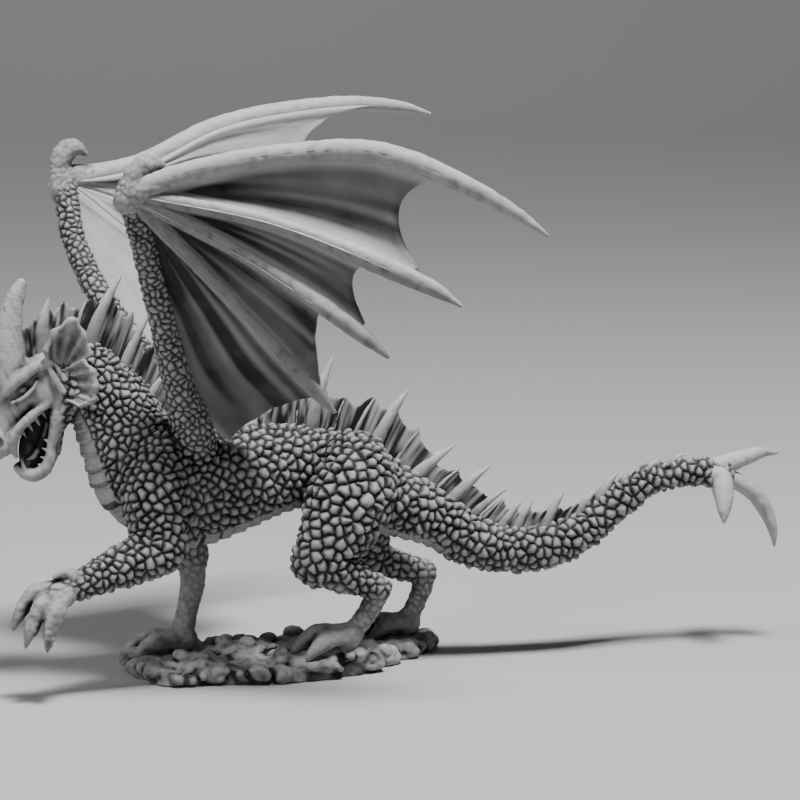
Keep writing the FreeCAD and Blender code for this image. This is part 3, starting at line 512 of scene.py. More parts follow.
def spine_line() -> tuple[np.ndarray, np.ndarray, np.ndarray, np.ndarray, np.ndarray]:
    """Points along the whole spine, with its direction, upward side, run so far and radius."""
    path = raised_path(SPINE_STATIONS[:-1] + TAIL_STATIONS[3:], 220)
    centre = path[:, :3]
    step = unit(np.gradient(centre, axis=0))
    up = np.stack([-step[:, 2], np.zeros(len(step)), step[:, 0]], axis=1)
    run = np.concatenate([[0.0], np.cumsum(np.linalg.norm(np.diff(centre, axis=0), axis=1))])
    return centre, step, up, run, path[:, 3]


def nearest_two(
    points: np.ndarray, seeds: np.ndarray
) -> tuple[np.ndarray, np.ndarray, np.ndarray, np.ndarray]:
    """Squared distances from each point to its two nearest seeds, and which seeds they are."""
    points32, seeds32 = points.astype(np.float32), seeds.astype(np.float32)
    size = (seeds32**2).sum(1)
    results = []
    for start in range(0, len(points32), 8000):
        part = points32[start:start + 8000]
        table = size[None] - 2 * part @ seeds32.T + (part**2).sum(1)[:, None]
        rows = np.arange(len(part))
        first = table.argmin(1)
        near = table[rows, first].copy()
        table[rows, first] = np.inf
        second = table.argmin(1)
        results.append((near, table[rows, second], first, second))
    near, far, first, second = (np.concatenate(column) for column in zip(*results))
    return np.maximum(near, 0.0), np.maximum(far, 0.0), first, second


@dataclass
class Hide:
    """Scaly skin of the whole creature: where its scales sit and how they stand out.

    Scutes are the belly plates, with their length and half the angle that they span round the
    body. Relief is the height of a scale.
    """

    seeds: np.ndarray = field(init=False)
    widths: np.ndarray = field(init=False)
    scute_length: float = 1.75
    scute_angle: float = 0.68
    relief: float = 0.72

    def __post_init__(self) -> None:
        """Spread the seeds over the skin, the width of a scale apart, and even them out once."""
        clay, fields = block_of_forms((-31, -20, 0), (62, 20, 68), 0.5)
        clay.field = merged(fields)
        clay.close_border()
        skin, _ = clay.skin()
        width, _ = self.character(skin)
        random = np.random.default_rng(SEED)
        order = random.permutation(len(skin))
        skin, width = skin[order], width[order]
        alive = np.ones(len(skin), bool)
        chosen = []
        for position in range(len(skin)):
            if alive[position]:
                chosen.append(position)
                reach = random.uniform(0.7, 1.0) * width[position]
                alive &= ((skin - skin[position]) ** 2).sum(1) > reach * reach
        seeds = skin[chosen]
        _, _, first, _ = nearest_two(skin, seeds)
        counts = np.maximum(np.bincount(first, minlength=len(seeds)), 1)
        sums = [np.bincount(first, weights=skin[:, k], minlength=len(seeds)) for k in range(3)]
        self.seeds = 0.7 * seeds + 0.3 * np.stack(sums, axis=1) / counts[:, None]
        self.widths = width[chosen]

    def character(self, points: np.ndarray) -> tuple[np.ndarray, np.ndarray]:
        """Scale width and scaliness at points, as a mean over the forms weighted by nearness."""
        weight = np.full(len(points), 1e-9)
        width, scaly = weight * 1.2, weight.copy()
        for form in ALL_FORMS:
            path = form.path()
            reach = path[:, 3:].max() + 2.0
            low, high = path[:, :3].min(0) - reach, path[:, :3].max(0) + reach
            near = np.flatnonzero(np.all((points > low) & (points < high), axis=1))
            if len(near) == 0:
                continue
            away = np.full(len(near), FAR)
            for centre in path:
                away = np.minimum(away, np.linalg.norm(points[near] - centre[:3], axis=1) - centre[3])
            share = np.exp(-np.maximum(away, -1.0) / 0.35)
            weight[near] += share
            width[near] += share * form.pebble * PEBBLE_SIZE
            scaly[near] += share * form.scaly
        return width / weight, scaly / weight

    def emboss(self, points: np.ndarray) -> tuple[np.ndarray, np.ndarray]:
        """Height of the skin's relief and the darkness of its creases, a dark wash together with painted
        shade.

        A scale is a low dome whose rim falls off steeply at the line halfway to the next scale.
        On the throat and belly the scales give way to broad plates, each rising towards the tail
        and dropping at its end.

        Args:
            points: Places on the smooth skin, in millimetres.

        Returns:
            Height in millimetres and darkness from 0 to 1.
        """
        width, scaly = self.character(points)
        low, high = points.min(0) - 3, points.max(0) + 3
        near = np.all((self.seeds > low) & (self.seeds < high), axis=1)
        seeds = self.seeds[near]
        wobble = 0.2 * np.stack([value_noise(points, 0.8, k) for k in range(3)], axis=1)
        close, other, first, second = nearest_two(points + wobble, seeds)
        apart = np.linalg.norm(seeds[second] - seeds[first], axis=1)
        rim = (other - close) / (2 * np.maximum(apart, 0.2))
        rise = np.clip((rim - 0.03) / (0.42 * width), 0.0, 1.0)
        pillow = np.sqrt(1.0 - (1.0 - rise) ** 2)
        dome = 1.0 - np.clip(np.sqrt(close) / (0.8 * width), 0, 1) ** 2
        size = np.clip(width / 1.2, 0.5, 1.15)
        uneven = 0.62 + 0.76 * ((first * 7919) % 101) / 101.0
        lean = 0.16 * ((points - seeds[first]) * self.backward(points)).sum(1)
        pebble = (self.relief * size * (0.6 * pillow + 0.4 * dome * pillow) + lean * pillow) * uneven
        # Painted shade with dark wash: darker in the creases between scales and the grooves between plates.
        crease = (1.0 - rise) ** 1.3
        plate, groove, belly = self.plates(points)
        height = scaly * (pebble * (1 - belly) + plate * belly)
        pitted = 0.35 * (1 - scaly) * np.clip(value_noise(points, 0.7, 14), 0, 1)
        tone = np.clip(0.10 + 0.16 * value_noise(points, 0.5, 15), 0, 1)
        dark = np.clip(scaly * 1.25, 0, 1) * (crease * (1 - belly) + groove * belly) + pitted + tone
        fine = 0.035 * value_noise(points, 0.42, 11) + 0.04 * value_noise(points, 1.3, 12)
        wrinkle = (1 - scaly) * 0.09 * value_noise(points * np.array([1.0, 1.0, 1.8]), 0.8, 13)
        return height + fine + wrinkle, dark

    @staticmethod
    def backward(points: np.ndarray) -> np.ndarray:
        """Direction in which the scales overlap: along the nearest stretch of the spine."""
        centre, step, _, _, _ = spine_line()
        _, _, first, _ = nearest_two(points, centre)
        return step[first]

    def plates(self, points: np.ndarray) -> tuple[np.ndarray, np.ndarray, np.ndarray]:
        """Height and groove darkness of the belly plates, a dark wash with painted shade in the grooves,
        and how far each point is on them.
        """
        centre, _, up, run, radius = spine_line()
        _, _, first, _ = nearest_two(points, centre)
        away = points - centre[first]
        below = -(away * up[first]).sum(1)
        angle = np.arctan2(np.abs(points[:, 1]), below)
        inside = np.linalg.norm(away, axis=1) < radius[first] + 0.9
        upper = (run[first] < 58.0) & inside & (np.abs(points[:, 1]) < 5.5)
        belly = (1 - smooth_step(angle, self.scute_angle - 0.04, self.scute_angle + 0.04)) * upper
        phase = run[first] / self.scute_length
        part = phase - np.floor(phase)
        plate = 0.4 * part * (1 - smooth_step(part, 0.86, 1.0)) + 0.04
        groove = smooth_step(part, 0.8, 0.95) * (1 - 0.4 * smooth_step(part, 0.95, 1.0))
        return plate, groove, belly


def merged(fields: dict) -> np.ndarray:
    """All groups of forms as one body, with small fillets where limbs meet the trunk."""
    whole = None
    for made in fields.values():
        whole = made if whole is None else smooth_min(made, whole, 1.0)
    return whole.astype(np.float32)


# ----------------------------------------------------------------------------- meshes
@dataclass
class Shell:
    """Points in millimetres, faces, and the darkness at each point: dark wash together with painted shade.
    """

    points: np.ndarray
    faces: np.ndarray
    wash_and_shade: np.ndarray

    @staticmethod
    def joined(shells: list) -> "Shell":
        """Several closed shells as one."""
        counts = np.cumsum([0] + [len(shell.points) for shell in shells[:-1]])
        return Shell(
            np.concatenate([shell.points for shell in shells]),
            np.concatenate([shell.faces + start for shell, start in zip(shells, counts)]),
            np.concatenate([shell.wash_and_shade for shell in shells]),
        )


def make_piece(name: str, shell: Shell, material: bpy.types.Material,
               nodes: tuple = ()) -> bpy.types.Object:
    """Turn a shell into an object that rides on the figure.

    Args:
        name: Name of the piece.
        shell: Its surface, in millimetres.
        material: What it is dressed in.
        nodes: CAD nodes that it stands for.

    Returns:
        The new object.
    """
    mesh = bpy.data.meshes.new(name)
    count, corners = shell.faces.shape
    mesh.vertices.add(len(shell.points))
    mesh.vertices.foreach_set("co", (shell.points * MM).astype(np.float32).ravel())
    mesh.loops.add(count * corners)
    mesh.loops.foreach_set("vertex_index", shell.faces.astype(np.int32).ravel())
    mesh.polygons.add(count)
    mesh.polygons.foreach_set("loop_start", np.arange(0, count * corners, corners, dtype=np.int32))
    mesh.polygons.foreach_set("use_smooth", np.ones(count, bool))
    mesh.update(calc_edges=True)
    mesh.validate()
    # Darkness at each point, dark wash together with painted shade, for the primer material to read.
    wash_and_shade = mesh.attributes.new("wash_and_shade", "FLOAT", "POINT")
    wash_and_shade.data.foreach_set("value", np.clip(shell.wash_and_shade, 0, 1).astype(np.float32))
    mesh.materials.append(material)
    piece = bpy.data.objects.new(name, mesh)
    bpy.context.scene.collection.objects.link(piece)
    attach(piece, "root")
    if nodes:
        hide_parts(*nodes)
    LOG.info("%s: %d points, %d faces", name, len(shell.points), count)
    return piece


def hollow_shade(clay: Clay, points: np.ndarray, normals: np.ndarray) -> np.ndarray:
    """How enclosed each point is: how much nearer clay is above it than on open ground."""
    shade = np.zeros(len(points))
    for reach, weight in ((0.5, 0.4), (1.1, 0.35), (1.9, 0.25)):
        above = clay.sample(points + normals * reach)
        shade += weight * np.clip(1.0 - above / reach, 0.0, 1.0)
    return shade


def tube(path: np.ndarray, around: int = 20, flat: float = 1.0) -> Shell:
    """Closed tube along a path whose fourth column is its radius, with rounded ends.

    A ring of points is carried along the path in a frame that doesn't twist, and each end
    closes on a single point.
    """
    centre, radius = path[:, :3], path[:, 3]
    step = unit(np.gradient(centre, axis=0))
    side = np.zeros_like(step)
    guide = unit(np.cross(step[0], (0.3, 0.9, 0.2)))
    for row in range(len(step)):
        guide = unit(guide - step[row] * (guide @ step[row]))
        side[row] = guide
    other = np.cross(step, side)
    turn = np.linspace(0, 2 * np.pi, around, endpoint=False)
    ring = (
        centre[:, None]
        + radius[:, None, None] * (np.cos(turn)[None, :, None] * side[:, None]
                                   + flat * np.sin(turn)[None, :, None] * other[:, None])
    )
    rows = len(centre)
    points = np.concatenate([ring.reshape(-1, 3), centre[:1] - step[:1] * radius[0] * 0.6,
                             centre[-1:] + step[-1:] * radius[-1] * 0.6])
    row, column = np.meshgrid(np.arange(rows - 1), np.arange(around), indexing="ij")
    after = (column + 1) % around
    body = np.stack([row * around + column, row * around + after,
                     (row + 1) * around + after, (row + 1) * around + column], axis=-1).reshape(-1, 4)
    start, end = rows * around, rows * around + 1
    first = np.arange(around)
    following = (first + 1) % around
    last = (rows - 1) * around
    caps = np.concatenate([
        np.stack([following, first, np.full(around, start), np.full(around, start)], axis=1),
        np.stack([last + first, last + following, np.full(around, end), np.full(around, end)], axis=1),
    ])
    return Shell(points, np.concatenate([body, caps]), np.zeros(len(points)))


# ----------------------------------------------------------------------------- castings
@dataclass(frozen=True)
class Casting:
    """A casting cut out of the whole body.

    Low and high are the corners of its block, with heights above the table. Groups are the
    forms that belong to it. Joints are pairs of a joint and the side of it that is cut away,
    1 for the tail's side and -1 for the head's.
    """

    node: str
    low: tuple
    high: tuple
    voxel: float
    groups: tuple
    joints: tuple = ()

    def build(self, hide: Hide, coarse: float) -> Shell:
        """Shape the casting and emboss its scales.

        Args:
            hide: The creature's skin.

        Returns:
            Its closed surface.
        """
        clay, fields = block_of_forms(self.low, self.high, self.voxel * coarse)
        clay.field = merged(fields)
        whole = clay.copy()
        own = [made for name, made in fields.items() if name in self.groups]
        others = [made for name, made in fields.items() if name not in self.groups]
        if others:
            apart = 0.5 * (np.minimum.reduce(own) - np.minimum.reduce(others))
            clay.field = np.maximum(clay.field, apart)
        cut_joints(clay, self.joints)
        return finished(clay, whole, hide)


def cut_joints(clay: Clay, joints: tuple) -> None:
    """Cut a block off flat at joints of the spine."""
    x = clay.low[0] + clay.voxel * np.arange(clay.field.shape[0])
    z = clay.low[2] + clay.voxel * np.arange(clay.field.shape[2])
    for joint, side in joints:
        flat = side * joint.side(x[:, None], z[None])
        clay.field = np.maximum(clay.field, flat[:, None, :].astype(np.float32))


def slopes_of(clay: Clay, points: np.ndarray) -> np.ndarray:
    """Outward direction of a clay field at points."""
    step = clay.voxel
    columns = []
    for axis in range(3):
        shift = np.zeros(3)
        shift[axis] = step
        columns.append(clay.sample(points + shift) - clay.sample(points - shift))
    return unit(np.stack(columns, axis=1))


def finished(clay: Clay, whole: Clay, hide: Hide, smooth_of: float | None = None) -> Shell:
    """Surface of a block with its relief, left flat where it was cut from its neighbours.

    Args:
        clay: The casting's own block.
        whole: The body before it was cut into castings.
        hide: The creature's skin.
        smooth_of: Where along X the scales begin, or nothing when they are everywhere.

    Returns:
        The casting's closed surface, with dark wash and painted shade in its creases and hollows.
    """
    clay.close_border()
    points, faces = clay.skin()
    slopes = slopes_of(whole, points)
    gap = whole.sample(points)
    outer = 1 - smooth_step(-gap, 0.08, 0.25)
    points = points - slopes * (np.clip(gap, -0.1, 0.1) * outer)[:, None]
    height, dark = hide.emboss(points)
    # Painted shade: the more enclosed a point is, the darker its colour.
    shade = hollow_shade(whole, points, slopes)
    if smooth_of is not None:
        scaled = smooth_step(points[:, 0], smooth_of - 0.7, smooth_of + 0.5)
        x, y, z = points.T
        grooves = np.stack([x * 1.9 + z * 0.9, y, z * 0.5], axis=1)
        bare = 0.06 * value_noise(grooves, 0.9, 21) + 0.03 * value_noise(points, 0.5, 22)
        height = height * scaled + bare * (1 - scaled)
        # Dark wash with painted shade in the low grooves of the bare skin.
        dark = dark * scaled + (1 - scaled) * 0.3 * np.clip(-bare / 0.06, 0, 1)
    points = points + slopes * (height * outer)[:, None]
    return Shell(points, faces, np.clip(1.05 * dark + 1.1 * shade, 0, 1))


CASTINGS = (
    Casting("torso", (-27, -11, 13), (18, 11, 34.5), 0.19, ("spine", "tail"),
            ((NECK_JOINT, -1), (TAIL_JOINT, 1))),
    Casting("neck", (-27.5, -6.5, 26), (-15, 6.5, 45), 0.16, ("spine",),
            ((HEAD_JOINT, -1), (NECK_JOINT, 1))),
    Casting("left_foreleg", (-37.5, -15.8, 6), (-12, -1, 34), 0.16, ("left_foreleg",)),
    Casting("right_foreleg", (-21.5, 0, 0.6), (-7, 11, 33), 0.16, ("right_foreleg",)),
    Casting("left_hind_leg", (-2, -11.5, 1.2), (14, 0, 33), 0.16, ("left_hind_leg",)),
    Casting("right_hind_leg", (5, 0, 0.6), (23.5, 12, 32), 0.17, ("right_hind_leg",)),
    Casting("tail_front", (14.5, -5, 10), (30, 5, 26), 0.16, ("spine", "tail"),
            ((TAIL_JOINT, -1), (TAIL_BREAK, 1))),
    Casting("tail_rear", (25.5, -4, 10), (62, 4, 27), 0.16, ("spine", "tail"), ((TAIL_BREAK, -1),)),
)
WING_ARMS = (
    Casting("left_wing", (-26, -21.5, 26), (-9, -1.5, 70), 0.16, ("left_wing_arm",)),
    Casting("right_wing", (-29.5, 1.5, 26), (-9, 21.5, 70), 0.17, ("right_wing_arm",)),
)


# ----------------------------------------------------------------------------- head
# Ear plates of the near side: the two ends of the root, and the tips round the edge.
EARS = (
    (((-30.6, -2.7, 39.0), (-27.6, -3.5, 38.6)),
     ((-31.3, -4.2, 40.6), (-30.2, -5.0, 43.2), (-27.6, -5.6, 44.9), (-26.2, -5.4, 42.4),
      (-25.4, -4.9, 40.2))),
    (((-28.9, -3.4, 38.2), (-28.8, -3.3, 34.4)),
     ((-26.5, -4.9, 39.6), (-25.2, -5.7, 38.2), (-24.8, -6.0, 36.2), (-25.2, -5.8, 34.3),
      (-27.0, -5.0, 33.4))),
)
EAR_COLUMNS = 41  # points along the root of an ear plate
EAR_ROWS = 26  # points from its root to its edge


@dataclass
class HeadMaker:
    """Shapes the head in its own block; heights here are above the strip.

    The ear plates are thin sheets, so that no scales run over them.
    """

    hide: Hide
    coarse: float
    clay: Clay = field(init=False)

    def strand(
        self, stations: tuple, share: float = 1.0, detail: int = 14, both: bool = False
    ) -> np.ndarray:
        """Distance to a chain of stations, on the near side only or on both sides."""
        sides = (stations, mirrored(stations)) if both else (stations,)
        return np.minimum.reduce([self.clay.chain(raised_path(side, detail), share) for side in sides])

    def lump(self, x: float, y: float, z: float, radii: tuple, tilt: float = 0.0) -> np.ndarray:
        """Distance to a pair of ellipsoids, one on each side of the head."""
        near = self.clay.ball((x, -y, z + STRIP_TOP), radii, tilt)
        far = self.clay.ball((x, y, z + STRIP_TOP), radii, tilt)
        return np.minimum(near, far)

    def skull(self) -> None:
        """Cranium, muzzle, cheeks and the horn that rises from the brow."""
        clay = self.clay
        clay.join(self.strand(((-36.9, 0, 28.2, 1.7), (-36.3, 0, 30.0, 1.9), (-34.9, 0, 32.4, 2.2),
                               (-33.0, 0, 34.9, 2.9), (-30.6, 0, 36.4, 3.6), (-28.0, 0, 37.0, 4.1),
                               (-25.4, 0, 36.4, 4.3), (-22.7, 0, 32.9, 5.0)), share=0.86, detail=30), 0.5)
        clay.join(self.lump(-30.6, 1.9, 34.8, (1.9, 1.3, 1.7), 0.7), 0.9)
        clay.join(self.lump(-36.4, 1.15, 28.7, (1.25, 1.05, 1.7), 0.3), 0.5)
        clay.join(self.strand(((-35.0, 0, 36.6, 2.4), (-35.5, 0, 40.0, 2.1), (-35.2, 0, 43.2, 1.7),
                               (-34.7, 0, 45.8, 1.35), (-34.0, 0, 47.8, 1.0), (-33.5, 0, 48.7, 0.7)),
                              detail=24), 1.0)
        clay.join(self.strand(((-36.6, 0, 33.0, 1.2), (-35.6, 0, 36.0, 1.7)), detail=6), 0.9)

    def brows(self) -> None:
        """Brow ridges over deep eye sockets with round eyes, and the nostrils."""
        clay = self.clay
        clay.join(self.strand(((-30.6, -2.9, 39.0, 0.7), (-32.5, -2.75, 38.3, 0.8),
                               (-34.2, -2.5, 37.0, 0.8), (-35.7, -1.9, 35.5, 0.6),
                               (-36.7, -1.2, 34.0, 0.4)), both=True), 0.45)
        clay.carve(self.lump(-33.8, 3.0, 35.5, (1.35, 1.05, 0.72), 0.75), 0.35)
        clay.join(self.lump(-33.8, 2.15, 35.6, (0.62, 0.5, 0.55), 0.7), 0.08)
        clay.join(self.strand(((-35.2, -2.35, 34.0, 0.22), (-34.1, -2.75, 34.5, 0.26),
                               (-32.7, -2.9, 35.7, 0.26), (-32.1, -2.8, 36.8, 0.2)), both=True), 0.2)
        clay.carve(self.lump(-36.9, 2.1, 28.9, (0.5, 0.75, 0.7), 0.3), 0.3)

    def mouth(self) -> None:
        """Gape, lips, lower jaw, tongue and teeth."""
        clay = self.clay
        clay.join(self.strand(((-30.4, 0, 32.6, 1.3), (-31.8, 0, 29.6, 1.9), (-32.6, 0, 27.2, 1.7),
                               (-33.2, 0, 25.8, 0.9)),
                              share=0.4), 0.3)
        clay.carve(self.lump(-32.5, 2.75, 29.2, (1.6, 2.1, 3.7), 0.28), 0.3)
        clay.carve(self.lump(-31.2, 3.0, 32.0, (0.95, 2.2, 1.9), -0.55), 0.3)
        clay.join(self.strand(((-29.9, -2.6, 34.2, 0.45), (-31.2, -2.65, 33.5, 0.55),
                               (-32.9, -2.5, 32.2, 0.62), (-34.4, -2.15, 30.6, 0.66),
                               (-35.2, -1.8, 29.2, 0.7), (-35.1, -1.5, 28.0, 0.55),
                               (-34.7, -1.3, 27.0, 0.3)), both=True), 0.4)
        clay.join(self.strand(((-28.6, -1.9, 34.2, 1.7), (-29.2, -2.1, 32.2, 1.35),
                               (-29.8, -2.0, 30.2, 0.85), (-30.3, -1.9, 28.3, 0.62),
                               (-30.5, -1.8, 26.8, 0.72), (-31.1, -1.5, 25.3, 0.85),
                               (-32.3, -1.0, 24.5, 0.85), (-33.6, -0.45, 24.7, 0.75),
                               (-34.3, 0, 25.4, 0.6)),
                              detail=24, both=True), 0.4)
        clay.join(self.strand(((-28.8, 0, 32.6, 1.3), (-29.4, 0, 29.8, 0.8), (-29.9, 0, 27.0, 0.75),
                               (-31.2, 0, 24.9, 0.7), (-33.2, 0, 24.6, 0.6)), share=1.7), 0.4)
        clay.join(self.strand(((-30.6, -0.7, 30.9, 0.6), (-31.2, -0.8, 29.2, 0.6),
                               (-31.8, -0.8, 27.8, 0.55), (-32.5, -0.7, 26.8, 0.45),
                               (-33.2, -0.6, 26.5, 0.25)), both=True), 0.15)
        for low, side, up in ((25.6, 1.55, 0.9), (26.6, 1.75, 0.8), (27.7, 1.85, 0.7), (28.8, 1.9, 0.6)):
            root = -30.6 - 0.15 * (28.8 - low)
            clay.join(self.strand(((root, -side, low, 0.34), (root - up, -side + 0.1, low + 0.3, 0.1)),
                                  detail=5, both=True), 0.1)
        for share in (0.15, 0.4, 0.65, 0.9):
            x, z = -34.6 + 3.6 * share, 30.0 + 2.9 * share
            fang = ((x, -2.0, z, 0.34), (x + 0.55, -1.95, z - 0.95, 0.08))
            clay.join(self.strand(fang, detail=5, both=True), 0.1)
        lower_fang = ((-33.7, -0.75, 25.2, 0.4), (-34.0, -0.8, 26.6, 0.1))
        clay.join(self.strand(lower_fang, detail=5, both=True), 0.1)

    def frills(self) -> None:
        """Three raised folds behind each cheek."""
        clay = self.clay
        for shift in (0.0, 1.05, 2.0):
            clay.join(self.strand(((-30.9 + shift, -3.1, 38.8, 0.25), (-29.9 + shift, -3.5, 37.0, 0.42),
                                   (-28.9 + shift, -3.5, 35.0, 0.42), (-28.6 + shift, -3.0, 33.4, 0.25)),
                                  both=True), 0.25)

    def ears(self) -> Shell:
        """Two cupped ear plates on each side, fanned out over the start of the neck."""
        shells = []
        for roots, tips in EARS:
            edge = smooth_path(np.array(tips), EAR_COLUMNS)
            part = np.linspace(0.0, 1.0, EAR_COLUMNS)[:, None, None]
            rise = np.linspace(0.0, 1.0, EAR_ROWS)[None, :, None]
            root = np.array(roots[0]) * (1 - part) + np.array(roots[1]) * part
            ribs = np.abs(np.cos(np.pi * part * (len(tips) - 1)))
            reach = edge[:, None] - root
            for side in (1.0, -1.0):
                cup = np.array([0.0, 0.75, 0.0]) * np.sin(np.pi * rise) * np.sin(np.pi * part)
                point = root + reach * rise * (0.94 + 0.06 * ribs) + cup
                outward = unit(np.cross(np.gradient(point, axis=0), np.gradient(point, axis=1)))
                outward = outward * np.where(outward[..., 1:2].mean() > 0, -1.0, 1.0)
                half = 0.2 + 0.3 * ribs**6 + 0.16 * smooth_step(rise, 0.84, 0.94) - 0.06 * ribs
                half = half * edge_taper(rise, 0.06, 0.15)
                point = (point + (0.0, 0.0, STRIP_TOP)) * (1.0, side, 1.0)
                outward = outward * (1.0, side, 1.0)
                share = np.ones((*half.shape[:2], 2))
                sheet = Wing.sheet(point, outward, half[..., 0], np.zeros(half.shape[:2]), share)
                # Painted shade with dark wash: darker in the middle of the cup between the ribs.
                cup_shade = (0.65 * (1 - ribs**2) * np.sin(np.pi * rise) + 0.15)[..., 0].ravel()
                wash_and_shade = np.concatenate([cup_shade, cup_shade])
                shells.append(roughened(Shell(sheet.points, sheet.faces, wash_and_shade), 0.05, 0.6, 26))
        return Shell.joined(shells)

    def build(self) -> Shell:
        """The whole head, cut flat where it meets the neck."""
        low, high = (-39.2, -7.0, 23.0 + STRIP_TOP), (-22.0, 7.0, 50.6 + STRIP_TOP)
        self.clay = Clay(low, high, HEAD_VOXEL * self.coarse)
        self.skull()
        self.brows()
        self.mouth()
        cut_joints(self.clay, ((HEAD_JOINT, 1),))
        self.frills()
        shell = finished(self.clay, self.clay.copy(), self.hide, smooth_of=-29.0)
        # Painted shade inside the open mouth.
        mouth = np.abs(shell.points - (-32.2, 0.0, 29.6 + STRIP_TOP)) / (2.4, 1.7, 4.6)
        painted_mouth_shade = 1 - smooth_step(np.linalg.norm(mouth, axis=1), 0.8, 1.0)
        shell.wash_and_shade = np.clip(shell.wash_and_shade + 0.75 * painted_mouth_shade, 0, 1)
        return Shell.joined([shell, self.ears()])


# ----------------------------------------------------------------------------- wings
@dataclass(frozen=True)
class Panel:
    """Skin between two neighbouring spars.

    The ends are shares of each spar's length. Scallop is how far the free edge is drawn in, and
    lean moves its deepest place towards the first spar. Belly is how far the skin swells.
    """

    first_end: float
    second_end: float
    scallop: float
    belly: float
    lean: float = 0.0


PANELS = {
    "left_wing": (
        Panel(0.80, 0.97, 0.21, 2.2, 0.12),
        Panel(0.76, 0.97, 0.15, 1.8, 0.1),
        Panel(0.77, 0.97, 0.12, 1.6, 0.08),
        Panel(0.93, 1.0, 0.02, 1.8),
    ),
    "right_wing": (
        Panel(0.86, 0.97, 0.24, 2.2, 0.12),
        Panel(0.76, 0.97, 0.15, 1.8, 0.1),
        Panel(0.77, 0.97, 0.12, 1.6, 0.08),
        Panel(0.93, 1.0, 0.02, 1.8),
    ),
}
SPARS = {
    "left_wing": (
        ((-22.6, -17.8, 61.4, 1.5), (-13.4, -20.6, 64.4, 1.3), (-3.9, -23.2, 66.0, 1.3),
         (6.0, -27.0, 66.2, 1.4), (16.0, -30.0, 62.4, 1.15), (22.0, -31.2, 59.0, 0.8),
         (26.1, -32.0, 56.1, 0.2)),
        ((-22.6, -17.8, 61.2, 1.0), (-5.4, -24.0, 57.5, 1.0), (8.0, -29.5, 51.9, 1.15),
         (12.4, -31.0, 49.8, 0.85), (15.3, -32.0, 47.9, 0.18)),
        ((-22.6, -17.8, 61.0, 1.0), (-7.4, -22.0, 52.6, 0.95), (0.8, -26.0, 46.8, 1.05),
         (4.6, -27.3, 43.8, 0.85), (7.3, -28.0, 41.4, 0.18)),
        ((-22.6, -17.8, 60.8, 1.0), (-8.9, -17.6, 46.6, 1.0), (-1.7, -17.0, 38.6, 1.05),
         (1.2, -16.4, 35.5, 0.8), (3.3, -16.0, 33.2, 0.18)),
        ((-22.6, -17.8, 61.2, 0.9), (-19.4, -13.0, 51.4, 0.7), (-16.9, -9.0, 43.4, 0.7),
         (-13.4, -6.2, 34.6, 0.7), (-7.8, -4.6, 28.6, 0.5)),
    ),
    "right_wing": (
        ((-25.4, 17.8, 60.4, 1.5), (-16.0, 20.4, 61.9, 1.3), (-3.6, 24.2, 66.8, 1.3),
         (8.2, 27.4, 68.8, 1.25), (19.0, 30.0, 69.2, 1.0), (24.0, 31.2, 68.6, 0.75),
         (28.0, 32.0, 67.6, 0.2)),
        ((-25.4, 17.8, 60.2, 1.0), (-6.6, 24.0, 59.6, 0.8), (8.0, 29.5, 57.0, 0.9), (12.6, 31.1, 55.5, 0.7),
         (15.8, 32.0, 54.4, 0.18)),
        ((-25.4, 17.8, 60.0, 1.0), (-8.4, 22.0, 53.4, 0.75), (0.8, 26.0, 48.6, 0.85),
         (4.6, 27.3, 46.2, 0.7), (7.2, 28.0, 44.4, 0.18)),
        ((-25.4, 17.8, 59.8, 1.0), (-9.8, 17.6, 46.8, 0.75), (-1.7, 17.0, 38.8, 0.8),
         (1.2, 16.4, 35.6, 0.62), (3.3, 16.0, 33.2, 0.18)),
        ((-25.4, 17.8, 60.2, 0.9), (-24.6, 13.4, 52.0, 0.7), (-20.8, 9.2, 43.6, 0.7),
         (-15.4, 6.2, 35.2, 0.7), (-7.8, 4.6, 28.6, 0.5)),
    ),
}


